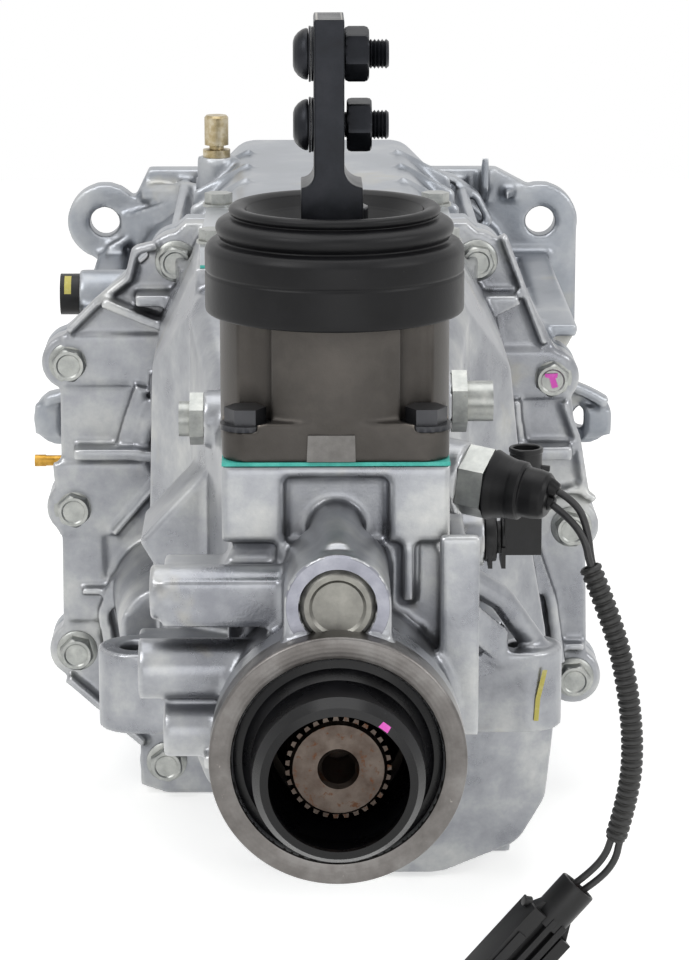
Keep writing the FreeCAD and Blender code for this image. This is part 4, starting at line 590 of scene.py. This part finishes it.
def rearCaseDetails(bm):
    face = -219
    # left of the split flange: flat bar, rim, webs and shelf
    raised(bm, [(-113, 60), (-58, 60), (-55, 56), (-55, 39), (-113, 39)], face, 1.7)
    ribChain(bm, [(-110, 62), (-97, 75), (-84, 85), (-81, 97)], face, 3.5, 4)
    ribChain(bm, [(-95, 76), (-76, 68), (-57, 61)], face, 4, 12)
    ribChain(bm, [(-81, 77), (-56, 77)], face, 5, 14)
    ribChain(bm, [(-81, 97), (-72, 99)], face, 3.5, 5)
    ribChain(bm, [(-79, 38), (-84, 24), (-88, 10)], face, 6, 5)
    ribChain(bm, [(-69, 38), (-76, 24), (-80, 10)], face, 6, 6)
    ribChain(bm, [(-108, 10), (-84, 10), (-64, 8)], face, 5, 12)
    raised(bm, [(-118, 4), (-78, 4), (-72, -4), (-92, -27), (-116, -27)], face, 1.7)
    ribChain(bm, [(-92, -27), (-73, -5)], face, 2.5, 4)
    raised(bm, [(-113, -27), (-97, -27), (-96, -66), (-113, -66)], face, 1)
    ribChain(bm, [(-106, -52), (-96, -52)], face, 3, 6)
    ribChain(bm, [(-113, -92), (-93, -110), (-80, -122)], face, 4, 4)
    # rounded swelling beside the lower left bolt
    rod(bm, (-70, face + 2, -52), (-66, -318, -44), 23, 19, 40)
    ribChain(bm, [(-80, -36), (-91, -47), (-97, -62), (-94, -78), (-86, -88)], face, 5, 8)
    # right of the flange: rim, bar, webs, shelf
    ribChain(bm, [(75, 103), (84, 79), (93, 56)], face, 3, 4)
    raised(bm, [(56, 53), (98, 53), (104, 50), (104, 33), (56, 31)], face, 1.7)
    ribChain(bm, [(57, 63), (69, 71), (81, 77)], face, 4, 14)
    ribChain(bm, [(57, 77), (81, 77)], face, 4, 14)
    ribChain(bm, [(81, 32), (82, 22), (84, 11)], face, 4, 6)
    ribChain(bm, [(76, 10), (105, 10)], face, 6, 12)
    ribChain(bm, [(102, 30), (108, 14), (112, -10)], face, 3, 2)
    ribChain(bm, [(88, -30), (97, -56), (101, -84)], face, 5, 12)
    ribChain(bm, [(96, -10), (108, -8), (116, -13)], face, 3, 3)
    ribChain(bm, [(100, -78), (112, -78)], face, 3, 6)
    for side in (1, -1):  # webs along the chamber
        rib(bm, (side * 62, -222, 90), (side * 50, -330, 84), 5, 10)
        rib(bm, (side * 73, -222, 40), (side * 68, -326, 36), 5, 8)
    # the broad slanted bar on the left of the tail, cut off square at its foot
    prismOf(bm, [(-72, -372, 20), (-62, -372, 3), (-30, -372, 26), (-30, -372, 56), (-46, -372, 48)],
            (0, -44, 0))
    prismOf(bm, [(-60, -350, -4), (-50, -350, -12), (-24, -350, 4), (-24, -350, 22)], (0, -34, 0))
    # two curved bars on the right, from the web down to the mounting wing
    rod(bm, (44, -392, 4), (66, -382, -12), 5.5, 5)
    rod(bm, (66, -382, -12), (80, -372, -34), 5, 5)
    rib(bm, (42, -400, -6), (68, -384, -32), 4, 16)
    # pads and strips round the tail
    rib(bm, (-41, -484, -10), (-41, -590, -10), 5, 5)
    rod(bm, (0, -560, 62), (0, -604, 62), 9, 6)
    rib(bm, (-18, -566, 57), (-18, -560, 36), 3, 8)
    ribChain(bm, [(24, 57), (24, 38)], -566, 4, 0.5)
    for x, z, size in ((-35, -92, 7), (20, -120, 5), (62, -112, 6)):  # ejector pin pads under the chamber
        rod(bm, (x, -320, z), (x, -331, z), size)


# voxel is in mm, passes smooth the fillets, and keep is the share of the triangles that stays
castings = {
    "mainCasting": {"node": "main_case", "details": mainCaseDetails, "voxel": 1.5, "passes": 3, "keep": 0.5,
                    "slot": "cast_alloy", "material": castAluminiumFront},
    "rearCasting": {"node": "rear_case", "details": rearCaseDetails, "voxel": 1.2, "passes": 3, "keep": 0.45,
                    "slot": "cast_alloy", "material": castAluminium},
    "towerCasting": {"node": "shift_tower", "details": None, "voxel": 0.8, "passes": 3, "keep": 0.6,
                     "slot": "cast_alloy_tower", "material": agedCasting}}
for name, facts in castings.items():
    casting(name, **facts)

print("tail rim")
rim = {"outer": 41.25, "inner": 33.6, "face": -620.15, "back": -608, "chamfer": 0.7, "bossFace": -612.25,
       "bossZ": 48.7, "bossInner": 12.3, "bossOuter": 16.9}
bm = bmesh.new()
edge = rim["chamfer"]
inner, outer, face, back = rim["inner"], rim["outer"], -rim["face"], -rim["back"]
profile = [(inner + 0.4, face - 14), (inner + 0.1, face - 2 * edge), (inner + edge, face),
           (outer - edge, face), (outer, face - edge), (outer, back), (outer - 2, back - 0.4)]
spin(bm, softened(profile, 0.3, 2), (0, 0, 0), (0, -1, 0), 160)
finishMesh("tailRim", bm, "housing", turnedRim, 25)
bm = bmesh.new()  # the faced ring round the plug of the selector bore, down to where the rim hides it
ringSteps = [math.radians(-42 + 264 * i / 60) for i in range(61)]
inner, outer, face = rim["bossInner"], rim["bossOuter"], rim["bossFace"]
loops = [[bm.verts.new((r * math.cos(t), y, rim["bossZ"] + r * math.sin(t))) for t in ringSteps]
         for r, y in ((inner, face + 1.5), (inner + 0.3, face), (outer - 0.5, face),
                      (outer + 0.1, face + 1.2))]
for low, high in zip(loops, loops[1:]):
    for i in range(60):
        bm.faces.new([low[i], low[i + 1], high[i + 1], high[i]])
finishMesh("bossRing", bm, "housing", facedRing, 25)

print("lever")
lever = {"y": -528, "heights": (214.6, 191.2), "faces": (-6.95, 3.15), "washer": 1.6, "nutFlats": 16,
         "nutHeight": 8.2, "nutGap": 0.9, "boltEnd": 17.9, "shank": 4.9, "top": 227, "halfDepth": 12.5}
left, right = lever["faces"]
casting("leverBlade", "shift_lever", None, 0.5, 2, 0.6, "black_steel", blackOxide, "lever")
bm = bmesh.new()
slab(bm, (left + 0.5, lever["y"] - lever["halfDepth"] + 0.5, lever["top"] - 0.4),
     (right - 0.5, lever["y"] + lever["halfDepth"] - 0.5, lever["top"]))
finishMesh("bladeTop", bm, "lever", turnedSteel, 30, 0.2)
buttons, washers, nuts = bmesh.new(), bmesh.new(), bmesh.new()
for i, z in enumerate(lever["heights"]):
    dome = [(6.2, 0), (8.4, 0.2), (8.5, 0.9), (8.1, 2.1), (7.1, 3.5), (5.6, 4.7), (4.0, 5.2), (3.0, 5.2),
            (2.9, 2.6), (0, 2.4)]
    spin(buttons, softened(dome, 0.35, 2), (left - lever["washer"], lever["y"], z), (-1, 0, 0), 56)
    threaded(buttons, (right + 0.2, lever["y"], z), (1, 0, 0), lever["shank"], lever["boltEnd"] - right - 0.2,
             1.25)
    for start, radius in ((0.0, 9.0), (0.85, 9.2)):
        ring = [(5.2, start), (radius - 0.2, start), (radius, start + 0.2), (radius, start + 0.6),
                (radius - 0.2, start + 0.75), (5.2, start + 0.75)]
        spin(washers, ring + ring[:1], (left, lever["y"], z), (-1, 0, 0), 56)
    gap = lever["nutGap"] * i  # the lower nut stands off the blade a little
    shape = hexRadius(lever["nutFlats"])
    corner, tall = lever["nutFlats"] / 2 * 1.155, lever["nutHeight"]
    profile = [(5.0, 0.6), (corner * 0.86, 0), (corner * 0.95, 0.5), (corner, 1.5), (corner, tall - 1.5),
               (corner * 0.95, tall - 0.5), (corner * 0.86, tall), (5.0, tall - 0.6)]
    spin(nuts, profile, (right + gap, lever["y"], z), (1, 0, 0), 72,
         lambda r, angle: shape(r, angle + (0.0 if z > 200 else 0.12)))
for name, bm, node, angle in (
        ("leverButtons", buttons, "lever_bolts", 40), ("leverRings", washers, "lever_washers", 30),
        ("leverHexes", nuts, "lever_nuts", 25)):
    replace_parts(finishMesh(name, bm, "lever", blackOxide, angle), node)

print("switch, sensor and connector")
switch = {"seat": (46.3, -497, 63), "yaw": 22, "dip": 7}
yaw, dip = math.radians(switch["yaw"]), math.radians(switch["dip"])
switchWay = Vector((math.cos(dip) * math.cos(yaw), -math.cos(dip) * math.sin(yaw), -math.sin(dip)))
bm = bmesh.new()
skirt = [(9.6, 9.4), (12.3, 9.4), (12.4, 9.9), (11.4, 12.4), (10.6, 15.4), (10.3, 17.2), (10.4, 17.8),
         (10.2, 20.8), (9.6, 21.1), (9.3, 22.0), (9.2, 26), (8.6, 29.2), (7.2, 30.6), (0, 30.9)]
spin(bm, softened(skirt, 0.5, 3), switch["seat"], switchWay, 72,
     lambda r, angle: r * (1 - 0.1 * abs(math.sin(angle)) * (r < 9.5)))
for name, points in wireRoutes.items():
    start = Vector(points[0])
    way = (Vector(points[1]) - start).normalized()
    capEnds(bm, spin(bm, softened([(3.4, -6), (3.4, -1.5), (2.6, 1.6), (1.9, 2.0)], 0.5), start, way, 32))
switchBoot = finishMesh("switchBoot", bm, "housing", dustyRubber, 40)
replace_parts(switchBoot, "switch_boot")

sensor = {"y": -400, "z": 17, "socketX": 73.6}
bm = bmesh.new()
barrel = [(0, 40), (8, 40), (8, 58), (9.2, 58.3), (9.2, 62.3), (8.8, 62.6), (6.2, 62.8), (6.2, 64.2),
          (8.4, 64.5), (8.4, 66), (0, 66)]
spin(bm, softened(barrel, 0.3, 2), (0, sensor["y"], sensor["z"]), (1, 0, 0), 56)
slab(bm, (65.5, sensor["y"] - 8, sensor["z"] - 5), (79.3, sensor["y"] + 8, sensor["z"] + 10))
for x in (59.2, 64.2):
    slab(bm, (x, sensor["y"] - 9, sensor["z"] - 10), (x + 1.6, sensor["y"] + 7, sensor["z"] - 2))
cup = [(0, 26), (6.2, 26), (6.2, 50), (6.5, 50.4), (6.5, 51.6), (6.2, 52), (5.3, 52), (5.0, 51.6), (5.0, 34),
       (0, 34)]
spin(bm, cup, (sensor["socketX"], sensor["y"], 0), (0, 0, 1), 56)
rod(bm, (sensor["socketX"] + 5.5, sensor["y"], 44), (sensor["socketX"] + 9, sensor["y"], 43.6), 1.2, 1.2, 16)
speedSensor = finishMesh("sensorBody", bm, "housing", mouldedNylon, 30)
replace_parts(speedSensor, "speed_sensor")

plug = {"mouth": (86.4, -513.5, -81.2), "end": (50, -519, -121), "width": 22, "thick": 14, "start": 16,
        "length": 38, "neck": 7, "bore": 5.7}
plugWay = (Vector(plug["end"]) - Vector(plug["mouth"])).normalized()
plugTurn = Vector((0, 0, 1)).rotation_difference(plugWay).to_matrix()
bm = bmesh.new()
half, deep, reach = plug["width"] / 2, plug["thick"] / 2, plug["start"] + plug["length"]
neck, bore = plug["neck"], plug["bore"]
sleeve = [(0, 9), (bore, 9), (bore, 0.5), (bore + 0.4, 0), (neck - 0.3, 0), (neck, 0.4), (neck, 18), (0, 18)]
spin(bm, sleeve, (0, 0, 0), (0, 0, 1), 56)
slab(bm, (-half + 6, -deep + 2.4, plug["start"]), (half - 1, deep - 1, reach))
slab(bm, (-half, -deep + 1, plug["start"] + 2), (-half + 5, deep, reach))
slab(bm, (half - 6, -deep + 0.6, plug["start"] - 1), (half, deep - 2, reach - 1))
for low, high in ((-half + 6.4, -half + 9.0), (-half + 11, -half + 13.4)):
    slab(bm, (low, -deep, plug["start"] - 2), (high, deep - 3, reach))
slab(bm, (half - 5.4, -deep - 0.2, plug["start"] + 9), (half - 1.6, -deep + 2, reach - 3))
for side in (-1, 1):  # gussets from the neck to the body
    prismOf(bm, [(side * 5, -2.5, 9), (side * 5, -2.5, 18), (side * (half - 0.5), -2.5, 18)], (0, 5, 0))
rod(bm, (half - 1, 0, plug["start"] - 0.5), (half + 1.6, 0, plug["start"] + 0.5), 2.2, 1.8, 24)
bmesh.ops.rotate(bm, verts=bm.verts, matrix=plugTurn)
bmesh.ops.translate(bm, verts=bm.verts, vec=plug["mouth"])
connectorBody = finishMesh("connectorBody", bm, "housing", mouldedNylon, 30, 0.35)
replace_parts(connectorBody, "connector")
bm = bmesh.new()
seal = softened([(1.4, -1.2), (2.5, -0.9), (2.7, 0.4), (2.5, 1.6), (2.7, 2.6), (2.6, 5)], 0.3)
for points in wireRoutes.values():  # one seal round each wire, inside the mouth
    capEnds(bm, spin(bm, seal, Vector(points[-1]), plugWay, 28))
wireSeals = finishMesh("wireSeals", bm, "housing", orangeSilicone, 40)
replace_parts(wireSeals, "connector_seal")

print("marks")


def patch(name, outline, y, material, thick=0.25):  # a thin mark on a face square to the shaft
    bm = bmesh.new()
    prismOf(bm, [(x, y, z) for x, z in outline], (0, -thick, 0))
    return finishMesh(name, bm, "housing", material, 30)


patch("barePatch", [(-9.6, 85.6), (6.4, 85.6), (6.2, 94.4), (-9.2, 94.4)], -566.0, barePatchMetal,
      0.9)
patch("boltPaint", [(93.0, 44.2), (98.6, 44.4), (98.4, 42.6), (97.6, 42.2), (98.8, 38.6), (96.2, 37.8),
                    (95.0, 42.2), (93.2, 42.8)], -227.05, pinkPaint)
patch("wingPaint", [(82.0, -39.5), (83.8, -39.5), (82.6, -45), (81.2, -51), (80.6, -60), (78.8, -60),
                    (79.4, -51), (80.8, -45)], -387.0, yellowPaint)
patch("gasketTab", [(-60.5, 85.6), (-52, 85.2), (-52, 87.4), (-60.5, 87.8)], -221.0, gasketCoat)
lip = {"y": -642.0, "thick": 0.45, "corners": ((22.4, 48), (22.4, 52), (22.4, 57), (24.6, 56), (24.6, 54),
                                               (24.6, 51), (24.6, 49))}  # radius, and angle in degrees
spot = [(r * math.cos(math.radians(turn)), r * math.sin(math.radians(turn))) for r, turn in lip["corners"]]
patch("lipPaint", spot, lip["y"], pinkPaint, lip["thick"])
bm = bmesh.new()  # yellow ink on the side plug
inkAngles = [math.radians(200 + 12 * i) for i in range(6)]
rows = [[bm.verts.new((x, -140 + 9.3 * math.sin(t), 63.4 - 9.3 * math.cos(t))) for t in inkAngles]
        for x in (-116.5, -113.5)]
for i in range(5):
    bm.faces.new([rows[0][i], rows[0][i + 1], rows[1][i + 1], rows[1][i]])
finishMesh("plugInk", bm, "housing", yellowPaint, 30)

print("boot")
boot = {"y": -528, "foldTop": 163.2, "fold": 159.4, "throat": 151}
skirt = [(40.6, 129.1), (43.2, 129.3), (43.4, 131), (43.4, 142.2), (42.9, 142.9), (43.4, 143.6),
         (43.4, 150.4), (41.6, 152.8), (39.2, 153.2), (38.2, 153.8), (39.4, 155.4), (39.9, 157.2),
         (39.4, 159), (37.2, 160.4), (34.8, 160.9), (34.2, 161.4), (35.3, 162.2), (35.4, 163.6), (34.2, 164.7),
         (31.8, 164.6), (29.5, 163.2), (29.3, 161.2), (32.2, 160.6), (34.2, 155), (35, 149.5), (39.6, 147.5),
         (40.5, 144)]
funnel = [(29.5, 163.2), (26.5, 160.2), (25.5, 159.4), (25.3, 157.6), (26, 158.2), (29.3, 161.2)]
throat = [(25.5, 159.4), (22, 156.6), (20, 155.3), (17, 153.4), (14.2, 151.6), (12.6, 150.4),
          (11.9, 149.2), (11.9, 146.4), (13.3, 146.4), (13.4, 148.6), (15.2, 150.4), (19.8, 153.6),
          (23.3, 156.0), (25.3, 157.6)]
# the skirt stays on the tower; the funnel and the throat are baked in place and attached to no body, though
# each lists the two bodies it sits between
for name, outline, ease, bodies, high, low in (
        ("bootSkirt", skirt, 1.0, ("housing",), 0, 0),
        ("bootFunnel", funnel, 0.01, ("housing", "gate_yoke"), boot["foldTop"], boot["fold"]),
        ("bootThroat", throat, 0.01, ("gate_yoke", "lever"), boot["fold"], boot["throat"])):
    bm = bmesh.new()
    spin(bm, softened(outline + [outline[0]], ease, 3), (0, boot["y"], 0), (0, 0, 1), 96)
    bmesh.ops.remove_doubles(bm, verts=bm.verts, dist=0.001)
    rubber = finishMesh(name, bm, bodies[0] if len(bodies) == 1 else None, dustyRubber, 60)
    if len(bodies) == 2:
        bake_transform(rubber)
    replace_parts(rubber, "shifter_boot")

print("bolts")
caseBolt = {"flats": 13, "height": 8, "collar": 8.9, "collarHeight": 2.0, "dish": 0.5}
caseBoltPlaces = [(64, 92), (-64, 92), (96.5, 41), (-110, 48), (106, -25), (-109, -16), (108, -93),
                  (-109, -80), (-70.5, -131), (70.5, -131)]
bm = bmesh.new()
for x, z in caseBoltPlaces:
    hexHead(bm, (x, -219, z), (0, -1, 0), turn=dice.uniform(0, 1), **caseBolt)
heads = finishMesh("caseBoltHeads", bm, "housing", zincPlate, 30)
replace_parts(heads, "case_bolts")

print("carried nodes")
finishes = {
    "bearing_retainer": castAluminium, "retainer_bolts": zincPlate, "front_seal": sealRubber,
    "top_plate": castAluminiumFront, "top_plate_gasket": gasketCoat, "top_plate_bolts": zincPlate,
    "tower_gasket": gasketCoat, "tower_bolts": blackOxide, "tail_bushing": oiledSteel,
    "tail_seal": sealRubber, "rail_plug": tarnishedPlug, "breather": yellowZinc, "hex_plugs": zincPlate,
    "side_plug": mouldedNylon,
    "locating_pin": turnedBrass, "reverse_switch": zincPlate, "output_shaft": rustySteel,
    "lever_pin": turnedSteel, "gate_yoke": turnedSteel}
for name, node in nodes.items():
    if node.hide_render:
        continue
    node.data.materials.clear()
    node.data.materials.append(finishes.get(name, gearSteel))

print("cord facts")
for name, wire in wires.items():
    line = lineOf(wireRoutes[name])

print("stage")
stage = {"floor": "#F4F4F2", "floorLift": 0.52, "skyLight": 0.42, "lampPower": 11.0}
bm = bmesh.new()
low = cadBox[0][2] / mm - 0.3
slab(bm, (-1600, -2200, low - 4), (1600, 1600, low))
mesh = bpy.data.meshes.new("floor")
bm.to_mesh(mesh)
bm.free()
mesh.transform(Matrix.Scale(mm, 4))
floor = bpy.data.objects.new("floor", mesh)
scene.collection.objects.link(floor)
material, tree, shader = blankMaterial("paperFloor", Roughness=0.9)
shader.inputs["Base Color"].default_value = linear(stage["floor"])
path = addNode(tree, "ShaderNodeLightPath")
seen = addNode(tree, "ShaderNodeMath", {0: path.outputs["Is Camera Ray"], 1: path.outputs["Is Glossy Ray"]},
               operation="MAXIMUM")
glow = addNode(tree, "ShaderNodeEmission", {"Color": (1, 1, 1, 1)})
share = addNode(tree, "ShaderNodeMath", {0: seen.outputs[0], 1: stage["floorLift"]}, operation="MULTIPLY")
tree.links.new(share.outputs[0], glow.inputs["Strength"])
summed = addNode(tree, "ShaderNodeAddShader", {0: shader.outputs["BSDF"], 1: glow.outputs["Emission"]})
tree.links.new(summed.outputs[0], tree.nodes["Material Output"].inputs["Surface"])
mesh.materials.append(material)

world = bpy.data.worlds.new("studio")
scene.world = world
world.use_nodes = True
tree = world.node_tree
ground = tree.nodes["Background"]
path = addNode(tree, "ShaderNodeLightPath")
seen = addNode(tree, "ShaderNodeMath", {0: path.outputs["Is Camera Ray"], 1: path.outputs["Is Glossy Ray"]},
               operation="MAXIMUM")
seen = addNode(tree, "ShaderNodeMath", {0: seen.outputs[0], 1: path.outputs["Is Transmission Ray"]},
               operation="MAXIMUM")
level = addNode(tree, "ShaderNodeMapRange", {"Value": seen.outputs[0], "To Min": stage["skyLight"],
                                             "To Max": 1.0})
ground.inputs["Color"].default_value = (1, 1, 1, 1)
tree.links.new(level.outputs["Result"], ground.inputs["Strength"])

lamps = {"keyLeft": ((-1.1, -1.3, 1.5), 0.9, 1.0), "fillRight": ((1.3, -1.1, 0.9), 0.8, 0.55),
         "overhead": ((0.0, -0.2, 1.7), 1.4, 0.9), "tailLow": ((0.1, -1.9, 0.15), 0.8, 0.25)}
for name, (place, size, power) in lamps.items():
    lamp = bpy.data.lights.new(name, "AREA")
    lamp.size, lamp.energy = size, power * stage["lampPower"]
    holder = bpy.data.objects.new(name, lamp)
    holder.location = place
    holder.rotation_euler = (Vector((0, -0.45, 0)) - Vector(place)).to_track_quat("-Z", "Y").to_euler()
    scene.collection.objects.link(holder)

scene.view_settings.view_transform = "Standard"

print("done")
